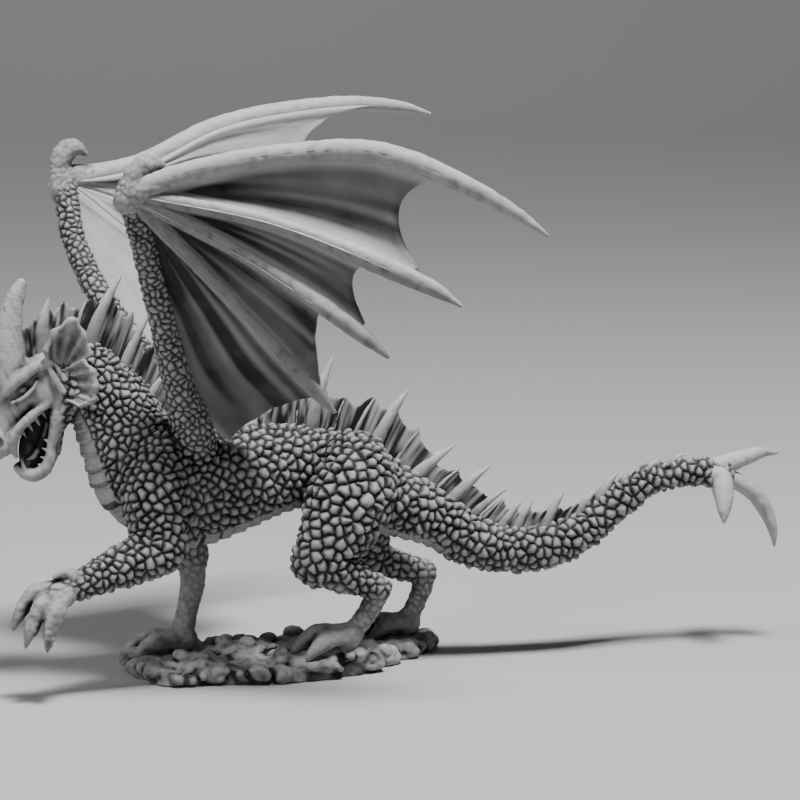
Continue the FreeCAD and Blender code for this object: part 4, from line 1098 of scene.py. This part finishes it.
@dataclass
class Wing:
    """Skin and fingers of one wing.

    Columns and rows count the points of a panel, across it and from the wrist to its free edge.
    Start is the share of a finger's length where the skin begins, and half is half its thickness.
    """

    node: str
    columns: int
    rows: int
    start: float = 0.03
    half: float = SKIN_HALF

    def spar(self, number: int) -> np.ndarray:
        """Points and radii along a spar, above the table."""
        return raised_path(SPARS[self.node][number], 240)

    def skin(self) -> Shell:
        """Two faces of skin a small distance apart, swelling into a ridge along every spar."""
        spars = [self.spar(number) for number in range(5)]
        panels = PANELS[self.node]
        shared = [panels[0].first_end]
        shared += [0.5 * (one.second_end + two.first_end) for one, two in zip(panels[:-1], panels[1:])]
        shared += [panels[-1].second_end]
        down = np.linspace(0.0, 1.0, self.rows)
        normals = [self.panel_normals(spars, number) for number in range(4)]
        joined = [normals[0]] + [unit(a + b) for a, b in zip(normals[:-1], normals[1:])] + [normals[-1]]
        spread = 0.5 - 0.5 * np.cos(np.pi * np.linspace(0, 1, self.columns))
        middle, upward, ridge, share = [], [], [], []
        for number, panel in enumerate(panels):
            first, second = spars[number], spars[number + 1]
            for across in spread if number == len(panels) - 1 else spread[:-1]:
                pull = 1.0 - panel.scallop * math.sin(math.pi * across ** (1.0 - panel.lean)) ** 0.5
                near_first = self.nearness(across, 0.14)
                near_second = self.nearness(1.0 - across, 0.14)
                first_end = panel.first_end + (shared[number] - panel.first_end) * near_first
                second_end = panel.second_end + (shared[number + 1] - panel.second_end) * near_second
                line_a = self.along(first, self.start + (first_end - self.start) * down * pull)
                line_b = self.along(second, self.start + (second_end - self.start) * down * pull)
                width = np.linalg.norm(line_b[:, :3] - line_a[:, :3], axis=1)
                flat = line_a[:, :3] + (line_b[:, :3] - line_a[:, :3]) * across
                mix_a = self.nearness(across, 0.35)
                mix_b = self.nearness(1.0 - across, 0.35)
                normal = unit(joined[number] * mix_a + joined[number + 1] * mix_b
                              + normals[number] * (1.0 - mix_a - mix_b))
                swell = panel.belly * math.sin(math.pi * across) ** 0.7 * down ** 0.6
                middle.append(flat + normal * swell[:, None])
                upward.append(normal)
                ridge.append(np.maximum(self.swelling(across * width, line_a[:, 3]),
                                        self.swelling((1 - across) * width, line_b[:, 3])))
                share.append(np.stack([np.full(self.rows, number + across), down], axis=1))
        point, upward, ridge, share = (np.array(part) for part in (middle, upward, ridge, share))
        point = point + upward * self.folds(share)[..., None]
        edge = share[..., 1]
        rim = 0.16 * smooth_step(edge, 0.93, 0.975) * np.clip(1.0 - ridge / 0.2, 0, 1)
        half = (self.half + rim + ridge) * edge_taper(edge, 0.02, 0.12)
        shell = self.sheet(point, upward, half, ridge, share)
        # Painted shade on the lower face of the skin.
        shell.wash_and_shade[ridge.size:] += self.underside_shade(ridge, share).ravel()
        return shell

    @staticmethod
    def nearness(share: float, reach: float) -> float:
        """One at a spar, falling to zero at the given share of the way to the next."""
        return 1.0 - float(smooth_step(np.float64(share), 0.0, reach))

    @staticmethod
    def underside_shade(ridge: np.ndarray, share: np.ndarray) -> np.ndarray:
        """Painted shade on the wing's lower face, with dark wash: deepest between the bones and towards the
        wrist.
        """
        between = np.exp(-ridge / 0.28)
        streak = value_noise(stretched(share, 11.0, 1.6), 1.0, 36).reshape(ridge.shape)
        near_wrist = 1.0 - smooth_step(share[..., 1], 0.1, 0.6)
        return between * np.clip(0.8 + 0.3 * streak + 0.2 * near_wrist, 0.0, 0.95)

    def panel_normals(self, spars: list, number: int) -> np.ndarray:
        """Upward direction of a panel at each row, halfway between its spars."""
        shares = np.linspace(self.start, 0.85, self.rows)
        line_a, line_b = self.along(spars[number], shares), self.along(spars[number + 1], shares)
        run = np.gradient(line_a[:, :3] + line_b[:, :3], axis=0)
        normal = unit(np.cross(line_b[:, :3] - line_a[:, :3], run))
        return normal * np.where(normal @ self.inward() < 0, -1.0, 1.0)[:, None]

    def inward(self) -> np.ndarray:
        """Direction that the upper face of the wing looks in: up and over the back."""
        return np.array([0.3, 0.8 if self.node == "left_wing" else -0.8, 0.5])

    @staticmethod
    def along(path: np.ndarray, shares: np.ndarray) -> np.ndarray:
        """Rows of a path at shares of its length."""
        place = shares * (len(path) - 1)
        return np.stack([np.interp(place, np.arange(len(path)), column) for column in path.T], axis=1)

    @staticmethod
    def swelling(away: np.ndarray, radius: np.ndarray) -> np.ndarray:
        """How much thicker the skin is at a distance from a bone: a round ridge with a soft foot."""
        near = away / np.maximum(radius, 0.2)
        profile = 0.8 * np.exp(-(near**2) * 0.9) + 0.2 * np.exp(-near * 0.55)
        return np.maximum(radius - SKIN_HALF, 0.0) * profile

    @staticmethod
    def folds(share: np.ndarray) -> np.ndarray:
        """Shallow folds that fan out from the wrist."""
        waves = 0.3 * value_noise(stretched(share, 7.0, 1.4), 1.0, 31)
        waves = waves + 0.1 * value_noise(stretched(share, 19.0, 3.0), 1.0, 32)
        waves = waves + 0.03 * value_noise(stretched(share, 24.0, 26.0), 1.0, 33)
        between = np.abs(np.sin(np.pi * share[..., 0])) ** 0.5
        return waves.reshape(between.shape) * between * smooth_step(share[..., 1], 0.05, 0.4)

    @staticmethod
    def sheet(
        point: np.ndarray, upward: np.ndarray, half: np.ndarray, ridge: np.ndarray, share: np.ndarray
    ) -> Shell:
        """Close the two faces of a skin round its rim."""
        count, rows = half.shape
        points = np.concatenate([(point + upward * half[..., None]).reshape(-1, 3),
                                 (point - upward * half[..., None]).reshape(-1, 3)])
        index = np.arange(count * rows).reshape(count, rows)
        other = index + count * rows
        top = np.stack([index[:-1, :-1], index[1:, :-1], index[1:, 1:], index[:-1, 1:]], axis=-1)
        low = np.stack([other[:-1, :-1], other[:-1, 1:], other[1:, 1:], other[1:, :-1]], axis=-1)
        loop = np.concatenate([index[:, 0], index[-1, 1:], index[-2::-1, -1], index[0, -2:0:-1]])
        after = np.roll(loop, -1)
        rim = np.stack([loop, loop + count * rows, after + count * rows, after], axis=1)
        faces = np.concatenate([top.reshape(-1, 4), low.reshape(-1, 4), rim])
        a, b, c, d = points[faces[0]]
        normal = np.cross(c - a, d - b)
        if normal @ upward[0, 0] < 0:
            faces = faces[:, ::-1]
        # Painted shade with dark wash: darker in the valleys beside the ridges and towards the root, and
        # lighter on the ridges as painted highlight with dry-brush.
        close = 1 - 0.75 * smooth_step(share[..., 1], 0.0, 0.75)
        valley = np.exp(-(((ridge - 0.1) / 0.07) ** 2))
        shade = np.clip((0.5 * valley + 0.12) * close - 0.5 * ridge, 0, 1).ravel()
        return Shell(points, faces, np.concatenate([shade, shade]))

    def bones(self) -> Shell:
        """The fingers, which stand free of the skin at their ends."""
        shells = []
        below = -self.inward()
        for number in range(4):
            path = self.spar(number)
            if number:
                path[:, 3] *= 0.88 + 0.12 * smooth_step(np.linspace(0.0, 1.0, len(path)), 0.5, 0.8)
            bone = roughened(tube(path[::2].copy(), 26), 0.07, 0.7, 40 + number)
            # Painted shade on the side of each finger that faces down.
            downward_shade = np.clip(surface_normals(bone.points, bone.faces) @ below, 0.0, 1.0)
            bone.wash_and_shade = np.clip(bone.wash_and_shade + (0.5 if number else 0.25) * downward_shade, 0, 1)
            shells.append(bone)
        return Shell.joined(shells)


def roughened(shell: Shell, amount: float, scale: float, seed: int) -> Shell:
    """A shell with an uneven cast surface; its dents get a little dark wash and painted shade."""
    normals = surface_normals(shell.points, shell.faces)
    noise = value_noise(shell.points, scale, seed) + 0.5 * value_noise(shell.points, scale * 0.4, seed + 1)
    return Shell(shell.points + normals * (amount * noise)[:, None], shell.faces,
                 np.clip(shell.wash_and_shade - 0.25 * noise, 0, 1))


# ----------------------------------------------------------------------------- crest and spikes
@dataclass(frozen=True)
class Spine:
    """One spine of the crest: where it leaves the back, its tip, and how thick it is.

    Web is how far up the spine the fin behind it reaches.
    """

    base: tuple
    tip: tuple
    radius: float
    web: float = 0.8


NECK_CREST = (
    Spine((-33.4, 39.8), (-33.9, 43.0), 0.3, 1.0), Spine((-31.8, 40.6), (-32.0, 44.0), 0.3, 1.0),
    Spine((-30.9, 41.0), (-30.1, 46.8), 0.95, 0.75), Spine((-29.0, 41.4), (-28.3, 46.2), 0.35, 1.0),
    Spine((-26.9, 40.9), (-25.2, 46.5), 0.4, 1.0), Spine((-24.9, 39.6), (-20.9, 49.4), 1.05, 0.75),
    Spine((-22.6, 36.8), (-19.4, 44.8), 0.4, 1.0), Spine((-21.2, 34.4), (-17.0, 45.0), 0.9, 0.72),
    Spine((-19.8, 32.4), (-16.8, 40.2), 0.4, 1.0), Spine((-18.6, 30.4), (-14.9, 37.4), 0.9, 0.8),
    Spine((-17.0, 28.4), (-14.0, 33.0), 0.3, 1.0),
)
BACK_CREST = (
    Spine((-5.4, 27.2), (-4.8, 28.4), 0.3, 1.0), Spine((-3.8, 28.2), (-3.2, 31.4), 0.35, 1.0),
    Spine((-1.4, 28.6), (-0.8, 33.2), 0.35, 1.0), Spine((1.8, 28.4), (2.4, 33.6), 0.35, 1.0),
    Spine((4.0, 28.0), (6.7, 38.4), 0.95, 0.62), Spine((6.4, 26.6), (8.4, 33.2), 0.35, 1.0),
    Spine((8.8, 25.2), (12.2, 32.8), 0.4, 1.0), Spine((11.2, 23.4), (16.7, 33.7), 1.15, 0.75),
    Spine((13.8, 21.4), (18.0, 28.2), 0.35, 1.0), Spine((16.0, 20.0), (22.7, 26.0), 1.1, 0.62),
    Spine((18.8, 18.2), (23.6, 23.0), 0.4, 1.0), Spine((21.2, 16.8), (27.8, 23.2), 0.95, 0.62),
    Spine((24.2, 15.2), (29.9, 20.0), 0.8, 0.7),
)
TAIL_CREST = (
    Spine((25.6, 14.4), (29.6, 18.8), 0.4, 0.95), Spine((28.6, 13.8), (32.1, 18.2), 0.75, 0.75),
    Spine((31.2, 13.6), (33.6, 18.3), 0.75, 0.7), Spine((33.4, 13.6), (35.7, 17.1), 0.5, 0.85),
    Spine((35.2, 13.8), (37.8, 19.3), 0.85, 0.6), Spine((38.0, 14.8), (40.1, 17.8), 0.5, 0.85),
    Spine((39.8, 15.8), (42.4, 19.5), 0.7, 0.65), Spine((42.6, 17.4), (45.3, 21.6), 0.75, 0.55),
    Spine((45.6, 19.2), (47.7, 21.9), 0.6, 0.6), Spine((48.8, 20.8), (51.0, 23.1), 0.55, 0.5),
    Spine((52.0, 21.9), (54.4, 23.7), 0.5, 0.5),
)
TAIL_SPIKES = (
    ((56.6, 0, 21.2, 1.35), (60.0, 0.2, 21.9, 1.35), (63.2, 0.5, 22.8, 1.1), (65.8, 0.8, 23.4, 0.75),
     (68.2, 1.0, 23.2, 0.18)),
    ((57.6, 0, 21.3, 1.3), (59.2, -1.4, 20.6, 1.35), (59.2, -2.8, 18.6, 1.3), (58.8, -4.0, 16.4, 0.8),
     (58.6, -4.5, 14.9, 0.2)),
    ((58.0, 0, 20.9, 1.3), (61.6, 0.2, 19.9, 1.2), (64.4, 0.2, 18.1, 1.15), (66.4, 0.1, 15.2, 0.95),
     (67.3, 0, 12.6, 0.6), (67.5, 0, 10.6, 0.15)),
    ((57.6, 0, 21.2, 1.2), (59.6, 1.6, 20.8, 1.2), (60.2, 3.2, 19.4, 1.0), (60.8, 4.4, 17.2, 0.5),
     (61.0, 4.8, 16.0, 0.15)),
)


def fin(spines: tuple, seed: int) -> Shell:
    """Ragged fin stretched between spines, striated from its root to its edge."""
    across, down = 22, 30
    columns = []
    roots = np.array([(*spine.base, 0.0) for spine in spines])
    run = np.concatenate([[0.0], np.cumsum(np.linalg.norm(np.diff(roots[:, :2], axis=0), axis=1))])
    last = len(spines) - 2
    for number, (one, two) in enumerate(zip(spines[:-1], spines[1:])):
        for part in np.linspace(0, 1, across + 1)[: across + 1 if number == last else across]:
            base = np.array(one.base) * (1 - part) + np.array(two.base) * part
            tip_one = np.array(one.base) + (np.array(one.tip) - one.base) * one.web
            tip_two = np.array(two.base) + (np.array(two.tip) - two.base) * min(two.web + 0.12, 1.0)
            top = tip_one * (1 - part) + tip_two * part
            top = top - (top - base) * 0.14 * math.sin(math.pi * part)
            along = run[number] * (1 - part) + run[number + 1] * part
            columns.append((*base, *top, along))
    table = np.array(columns)
    base, top, along = table[:, :2], table[:, 2:4], table[:, 4]
    lines = np.stack([along * 2.4, np.full(len(along), 0.5), np.zeros(len(along))], axis=1)
    ragged = 0.4 * value_noise(lines * 0.45, 1.0, seed) + 0.2 * value_noise(lines, 1.0, seed + 1)
    rise = top - base
    length = np.linalg.norm(rise, axis=1, keepdims=True)
    top = top + rise / length * np.minimum(ragged, 0.2)[:, None] * np.minimum(length, 1.5)
    base = base - rise / length * 1.6
    height = np.linspace(0.0, 1.0, down)
    flat = base[:, None] + (top - base)[:, None] * height[None, :, None]
    grid = np.stack(np.broadcast_arrays(along[:, None], height[None]), axis=-1)
    striae = stretched(grid, 2.1, 2.2)
    lined = value_noise(striae, 1.0, seed + 2) + 0.6 * value_noise(striae * 1.9, 1.0, seed + 3)
    lined = lined.reshape(len(along), down)
    waves = value_noise(stretched(grid, 0.9, 0.8), 1.0, seed + 4).reshape(len(along), down)
    point = np.stack([flat[..., 0], 0.35 * waves * height, flat[..., 1] + STRIP_TOP], axis=-1)
    thick = (0.46 - 0.22 * height)[None] + 0.09 * lined * smooth_step(height, 0.15, 0.4)[None]
    half = np.maximum(thick, 0.1) * edge_taper(height, 0.04, 0.15)[None]
    upward = np.zeros_like(point)
    upward[..., 1] = -1.0
    share = np.stack([np.broadcast_to(along[:, None], half.shape), np.ones(half.shape)], axis=-1)
    shell = Wing.sheet(point, upward, half, np.zeros(half.shape), share)
    # Painted shade with dark wash: darker towards the root and in the low striae.
    shade = np.clip(0.86 - 0.6 * lined - 0.6 * (height[None] - 0.5), 0, 1)
    return Shell(shell.points, shell.faces, np.concatenate([shade.ravel(), shade.ravel()]))


def thorns(spines: tuple, seed: int) -> Shell:
    """The spines themselves: slim horns that lean a little forward before they sweep back."""
    shells = []
    for number, spine in enumerate(spines):
        base, tip = np.array(spine.base, float), np.array(spine.tip, float)
        rise = tip - base
        bulge = np.array([-rise[1], rise[0]]) * 0.07
        stations = [
            (*(base - rise * 0.22), spine.radius),
            (*(base + rise * 0.35 + bulge), spine.radius * 0.92),
            (*(base + rise * 0.72 + bulge * 0.7), spine.radius * 0.58),
            (*tip, 0.12),
        ]
        path = np.array([(x, 0.0, z + STRIP_TOP, radius) for x, z, radius in stations])
        thorn = roughened(tube(smooth_path(path, 26), 14), 0.05, 0.6, seed + number)
        # Painted shade with dark wash: darker towards the root.
        reach = (thorn.points[:, [0, 2]] - (base + (0.0, STRIP_TOP))) @ rise / (rise @ rise)
        thorn.wash_and_shade = np.clip(thorn.wash_and_shade + 0.5 * (1 - smooth_step(reach, 0.1, 0.9)), 0, 1)
        shells.append(thorn)
    return Shell.joined(shells)


def tail_spikes() -> Shell:
    """The cluster of claws at the end of the tail."""
    shells = []
    for number, stations in enumerate(TAIL_SPIKES):
        shells.append(roughened(tube(raised_path(stations, 60), 26), 0.06, 0.8, 70 + number))
    return Shell.joined(shells)


# ----------------------------------------------------------------------------- ground strip
# Rim of the strip: along X, across Y.
OUTLINE = (
    (-19.4, -5.0), (-17.0, -7.8), (-10.0, -8.6), (-3.0, -9.6), (4.0, -8.8), (10.0, -6.4), (14.0, -1.6),
    (19.0, 2.4), (22.0, 6.5), (21.0, 11.0), (15.0, 12.6), (5.0, 12.4), (-6.0, 11.2), (-16.0, 10.0),
    (-19.4, 7.0), (-20.4, 0.5),
)
# Mounds on it: along X, across Y, half length, half width, height above the strip.
MOUNDS = (
    (3.4, -5.0, 7.0, 3.8, 1.9), (-5.0, 2.5, 4.5, 4.0, 1.3),
    (-12.5, -4.0, 4.2, 3.2, 1.2), (9.0, 3.6, 4.0, 3.0, 1.4),
)


def ground_strip(coarse: float) -> Shell:
    """Broken rock with a low mound under the raised foot, cast as one strip with a flat underside."""
    clay = Clay((-24.0, -11.2, -0.6), (24.0, 14.2, 5.2), 0.17 * coarse)
    count = clay.field.shape
    x, y, z = (clay.low[k] + clay.voxel * np.arange(count[k]) for k in range(3))
    plan = np.stack(np.broadcast_arrays(x[:, None], y[None]), axis=-1).reshape(-1, 2)
    corners = np.array(OUTLINE, float)
    ring = smooth_path(np.concatenate([corners, corners[:1]])[:, [0, 1, 1]], 200)[:-1, :2]
    away = np.full(len(plan), np.inf)
    inside = np.zeros(len(plan), bool)
    for start, end in zip(ring, np.roll(ring, -1, axis=0)):
        step = end - start
        t = np.clip((plan - start) @ step / (step @ step), 0, 1)
        away = np.minimum(away, np.linalg.norm(plan - start - t[:, None] * step, axis=1))
        crosses = (start[1] > plan[:, 1]) != (end[1] > plan[:, 1])
        rise = end[1] - start[1] if end[1] != start[1] else 1e-9
        inside ^= crosses & (plan[:, 0] < start[0] + (plan[:, 1] - start[1]) * step[0] / rise)
    edge = np.where(inside, -away, away)
    random = np.random.default_rng(SEED + 1)
    flat = np.concatenate([plan, np.zeros((len(plan), 1))], axis=1)
    top = STRIP_TOP - 0.45 + 0.3 * value_noise(flat, 2.2, 64) + 0.12 * value_noise(flat, 0.8, 65)
    for cx, cy, length, width, height in MOUNDS:
        level = ((plan[:, 0] - cx) / length) ** 2 + ((plan[:, 1] - cy) / width) ** 2
        top = top + height * np.clip(1.0 - level, 0, 1) ** 0.7
    shape = (count[0], count[1], 1)
    wavy = edge + 0.9 + 0.5 * value_noise(flat, 1.7, 66)
    level = z[None, None]
    slab = np.maximum(level - top.reshape(shape), wavy.reshape(shape) + 0.15 * (level - 1.2))
    clay.field = slab.astype(np.float32)
    spots = np.flatnonzero(edge < -0.55)
    rim = np.flatnonzero((edge < -0.55) & (edge > -1.5))
    chosen = np.concatenate([random.choice(spots, 170), random.choice(rim, 90)])
    for spot in chosen:
        size = random.uniform(0.55, 1.35)
        radii = size * random.uniform(0.75, 1.25, 3) * (1.15, 1.15, 0.8)
        lift = top[spot] - random.uniform(0.0, 0.9) * radii[2]
        lift = lift - (random.uniform(0, 1.2) if spot in rim else 0.0)
        stone = clay.ball((plan[spot, 0], plan[spot, 1], max(lift, 0.6)), radii, random.uniform(-0.5, 0.5))
        clay.join(stone, 0.22)
    clay.field = np.maximum(clay.field, -z[None, None]).astype(np.float32)
    clay.close_border()
    points, faces = clay.skin()
    normals = surface_normals(points, faces)
    rough = 0.07 * value_noise(points, 0.42, 66) + 0.13 * value_noise(points, 0.95, 67)
    above = points[:, 2] > 0.15
    points = points + normals * (rough * above)[:, None]
    # Painted shade: darker in the hollows between stones and in the dents of the rough surface, lighter on
    # the bumps.
    shade = hollow_shade(clay, points, normals)
    return Shell(points, faces, np.clip(1.7 * shade - 1.8 * rough + 0.06, 0, 1))


# ----------------------------------------------------------------------------- materials
def noise_node(
    tree: bpy.types.NodeTree, vector: bpy.types.NodeSocket, scale: float, detail: float
) -> bpy.types.Node:
    """Noise texture fed from a vector."""
    noise = tree.nodes.new("ShaderNodeTexNoise")
    noise.inputs["Scale"].default_value = scale
    noise.inputs["Detail"].default_value = detail
    tree.links.new(vector, noise.inputs["Vector"])
    return noise


def primer_group() -> bpy.types.NodeTree:
    """Shared node group: grey primer darkened by a dark wash and painted shade in the hollows, with a fine
    cast grain.

    Inputs are the light and dark colours and the grain; outputs are the colour, the roughness
    and the normal.
    """
    tree = bpy.data.node_groups.new("primer_wash_and_shade", "ShaderNodeTree")
    face = tree.interface
    face.new_socket("Light", in_out="INPUT", socket_type="NodeSocketColor")
    face.new_socket("Dark", in_out="INPUT", socket_type="NodeSocketColor")
    face.new_socket("Grain", in_out="INPUT", socket_type="NodeSocketFloat")
    face.new_socket("Color", in_out="OUTPUT", socket_type="NodeSocketColor")
    face.new_socket("Roughness", in_out="OUTPUT", socket_type="NodeSocketFloat")
    face.new_socket("Normal", in_out="OUTPUT", socket_type="NodeSocketVector")
    nodes, links = tree.nodes, tree.links
    given, result = nodes.new("NodeGroupInput"), nodes.new("NodeGroupOutput")
    place = nodes.new("ShaderNodeTexCoord")
    # Darkness of dark wash and painted shade that each piece carries.
    wash_and_shade = nodes.new("ShaderNodeAttribute")
    wash_and_shade.attribute_name = "wash_and_shade"
    broad = noise_node(tree, place.outputs["Object"], 180.0, 3.0)
    fine = noise_node(tree, place.outputs["Object"], 2600.0, 4.0)
    uneven = nodes.new("ShaderNodeMapRange")
    uneven.inputs["From Min"].default_value = 0.3
    uneven.inputs["From Max"].default_value = 0.7
    uneven.inputs["To Min"].default_value = -0.07
    uneven.inputs["To Max"].default_value = 0.07
    links.new(broad.outputs["Fac"], uneven.inputs["Value"])
    amount = nodes.new("ShaderNodeMath")
    amount.operation = "ADD"
    amount.use_clamp = True
    links.new(wash_and_shade.outputs["Fac"], amount.inputs[0])
    links.new(uneven.outputs["Result"], amount.inputs[1])
    mix = nodes.new("ShaderNodeMix")
    mix.data_type = "RGBA"
    links.new(amount.outputs[0], mix.inputs[0])
    links.new(given.outputs["Light"], mix.inputs[6])
    links.new(given.outputs["Dark"], mix.inputs[7])
    links.new(mix.outputs[2], result.inputs["Color"])
    rough = nodes.new("ShaderNodeMapRange")
    rough.inputs["To Min"].default_value = 0.52
    rough.inputs["To Max"].default_value = 0.8
    links.new(fine.outputs["Fac"], rough.inputs["Value"])
    links.new(rough.outputs["Result"], result.inputs["Roughness"])
    bump = nodes.new("ShaderNodeBump")
    bump.inputs["Distance"].default_value = 0.00004
    links.new(given.outputs["Grain"], bump.inputs["Strength"])
    links.new(fine.outputs["Fac"], bump.inputs["Height"])
    links.new(bump.outputs["Normal"], result.inputs["Normal"])
    return tree


def plain_material(name: str, color: tuple, roughness: float, metallic: float = 0.0) -> bpy.types.Material:
    """Material of one colour."""
    material = bpy.data.materials.new(name)
    material.use_nodes = True
    shader = material.node_tree.nodes["Principled BSDF"]
    shader.inputs["Base Color"].default_value = (*color, 1.0)
    shader.inputs["Roughness"].default_value = roughness
    shader.inputs["Metallic"].default_value = metallic
    return material


def primed_material(
    name: str, group: bpy.types.NodeTree, light: float, dark: float, grain: float
) -> bpy.types.Material:
    """Primed metal whose colour, roughness and normal come from the shared group."""
    material = plain_material(name, (light, light, light), 0.6)
    nodes, links = material.node_tree.nodes, material.node_tree.links
    coat = nodes.new("ShaderNodeGroup")
    coat.node_tree = group
    coat.inputs["Light"].default_value = (light, light, light * 1.01, 1.0)
    coat.inputs["Dark"].default_value = (dark, dark, dark * 1.02, 1.0)
    coat.inputs["Grain"].default_value = grain
    shader = nodes["Principled BSDF"]
    shader.inputs["Specular IOR Level"].default_value = 0.3
    links.new(coat.outputs["Color"], shader.inputs["Base Color"])
    links.new(coat.outputs["Roughness"], shader.inputs["Roughness"])
    links.new(coat.outputs["Normal"], shader.inputs["Normal"])
    return material


# ----------------------------------------------------------------------------- studio
# Places and lengths of the studio are in metres.
AIM = (0.0155, 0.0, 0.0347)  # what the camera and the lamps look at
CAMERA_DISTANCE = 0.42
CAMERA_AZIMUTH = math.radians(14.0)
CAMERA_RISE = math.radians(8.0)
CAMERA_LENS = 145.4  # millimetres
WORLD_STRENGTH = 0.03
FLOOR_HALF_WIDTH = 5.0
FLOOR_FRONT = -6.0
BEND_START = 1.2  # where along Y the floor begins to bend upwards
BEND_RADIUS = 0.8
WALL_TOP = 2.6


@dataclass(frozen=True)
class Lamp:
    """Soft square light: where it is, its size, its power in watts and the place it points at."""

    name: str
    place: tuple
    size: float
    power: float
    target: tuple = AIM


LAMPS = (
    Lamp("key", (0.06, -0.17, 0.60), 0.13, 8.4),
    Lamp("top_left", (-0.40, -0.10, 0.34), 0.14, 1.2),
    Lamp("fill", (-0.20, -0.55, 0.12), 0.25, 0.15),
    Lamp("backdrop", (0.0, 0.95, 1.5), 1.0, 12.0, (0.5, 2.2, 0.5)),
)


def hang_lamps() -> None:
    """Soft lamps round the figure, and a little light from all sides."""
    for lamp in LAMPS:
        light = bpy.data.lights.new(lamp.name, "AREA")
        light.size = lamp.size
        light.energy = lamp.power
        item = bpy.data.objects.new(lamp.name, light)
        item.location = lamp.place
        item.rotation_euler = (Vector(lamp.target) - Vector(lamp.place)).to_track_quat("-Z", "Y").to_euler()
        bpy.context.scene.collection.objects.link(item)
    world = bpy.data.worlds.new("studio")
    world.use_nodes = True
    world.node_tree.nodes["Background"].inputs["Color"].default_value = (0.82, 0.83, 0.85, 1.0)
    world.node_tree.nodes["Background"].inputs["Strength"].default_value = WORLD_STRENGTH
    bpy.context.scene.world = world


def lay_floor() -> None:
    """Pale floor that bends up into a wall behind the figure."""
    turn = np.linspace(0.0, 0.5 * math.pi, 24)
    wall = BEND_START + BEND_RADIUS
    deep = np.concatenate([[FLOOR_FRONT], BEND_START + BEND_RADIUS * np.sin(turn), [wall]])
    high = np.concatenate([[0.0], BEND_RADIUS - BEND_RADIUS * np.cos(turn), [WALL_TOP]])
    sides = (-FLOOR_HALF_WIDTH, FLOOR_HALF_WIDTH)
    corners = [(side, y, z) for y, z in zip(deep, high) for side in sides]
    bands = [(2 * k, 2 * k + 1, 2 * k + 3, 2 * k + 2) for k in range(len(deep) - 1)]
    mesh = bpy.data.meshes.new("floor")
    mesh.from_pydata(corners, [], bands)
    mesh.polygons.foreach_set("use_smooth", np.ones(len(bands), bool))
    mesh.materials.append(plain_material("pale_floor", (0.36, 0.36, 0.365), 0.85))
    floor = bpy.data.objects.new("floor", mesh)
    floor.rotation_euler = (0.0, 0.0, -CAMERA_AZIMUTH)
    bpy.context.scene.collection.objects.link(floor)


def place_camera() -> None:
    """Camera in front of the figure's left side, a little above it."""
    east, north = math.sin(CAMERA_AZIMUTH), math.cos(CAMERA_AZIMUTH)
    level = math.cos(CAMERA_RISE)
    look = Vector((east * level, north * level, -math.sin(CAMERA_RISE)))
    camera = bpy.data.objects.new("camera", bpy.data.cameras.new("camera"))
    camera.data.lens = CAMERA_LENS
    camera.data.sensor_width = 36.0
    camera.data.clip_start = 0.01
    camera.location = Vector(AIM) - look * CAMERA_DISTANCE
    camera.rotation_euler = look.to_track_quat("-Z", "Y").to_euler()
    bpy.context.scene.collection.objects.link(camera)
    bpy.context.scene.camera = camera


# ----------------------------------------------------------------------------- the figure
def build_figure() -> None:
    """Make every piece of the figure and dress the pins."""
    group = primer_group()
    # Painted shade: the scaled castings take a darker copy of the primer than the smooth skin and spines.
    scaled = primed_material("primed_scales_painted_shade", group, 0.32, 0.006, 0.5)
    smooth = primed_material("primed_skin", group, 0.37, 0.008, 0.35)
    stone = primed_material("primed_rock", group, 0.28, 0.006, 0.7)
    brass = plain_material("brass_pins", (0.62, 0.44, 0.16), 0.35, 1.0)
    coarse = 1.0
    hide = Hide()
    for casting in CASTINGS:
        shell = casting.build(hide, coarse)
        make_piece(casting.node + "_casting", shell, scaled, (casting.node,))
    head = HeadMaker(hide, coarse).build()
    make_piece("head_casting", head, scaled, ("head",))
    for casting in WING_ARMS:
        side = casting.node
        make_piece(side + "_arm", casting.build(hide, coarse), scaled, (side,))
        wing = Wing(side, 56, 130)
        make_piece(side + "_skin", wing.skin(), smooth, (side,))
        make_piece(side + "_fingers", wing.bones(), smooth, (side,))
    crests = (("neck_crest", NECK_CREST, 80, "neck"), ("back_crest", BACK_CREST, 90, "torso"),
              ("tail_crest", TAIL_CREST, 100, "tail_rear"))
    for name, spines, seed, node in crests:
        make_piece(name + "_fin", fin(spines, seed), scaled, (node,))
        make_piece(name + "_spines", thorns(spines, seed), smooth, (node,))
    make_piece("tail_spikes", tail_spikes(), smooth, ("tail_rear",))
    make_piece("rock_strip", ground_strip(coarse), stone, ("ground_base",))
    for node in ("spine_pins", "limb_pins", "foot_pins"):
        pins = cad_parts[node]
        pins.data.materials.clear()
        pins.data.materials.append(brass)


def main() -> None:
    """Build the figure in its studio."""
    logging.basicConfig(level=logging.INFO)
    build_figure()
    hang_lamps()
    lay_floor()
    place_camera()


if __name__ == "__main__":
    main()
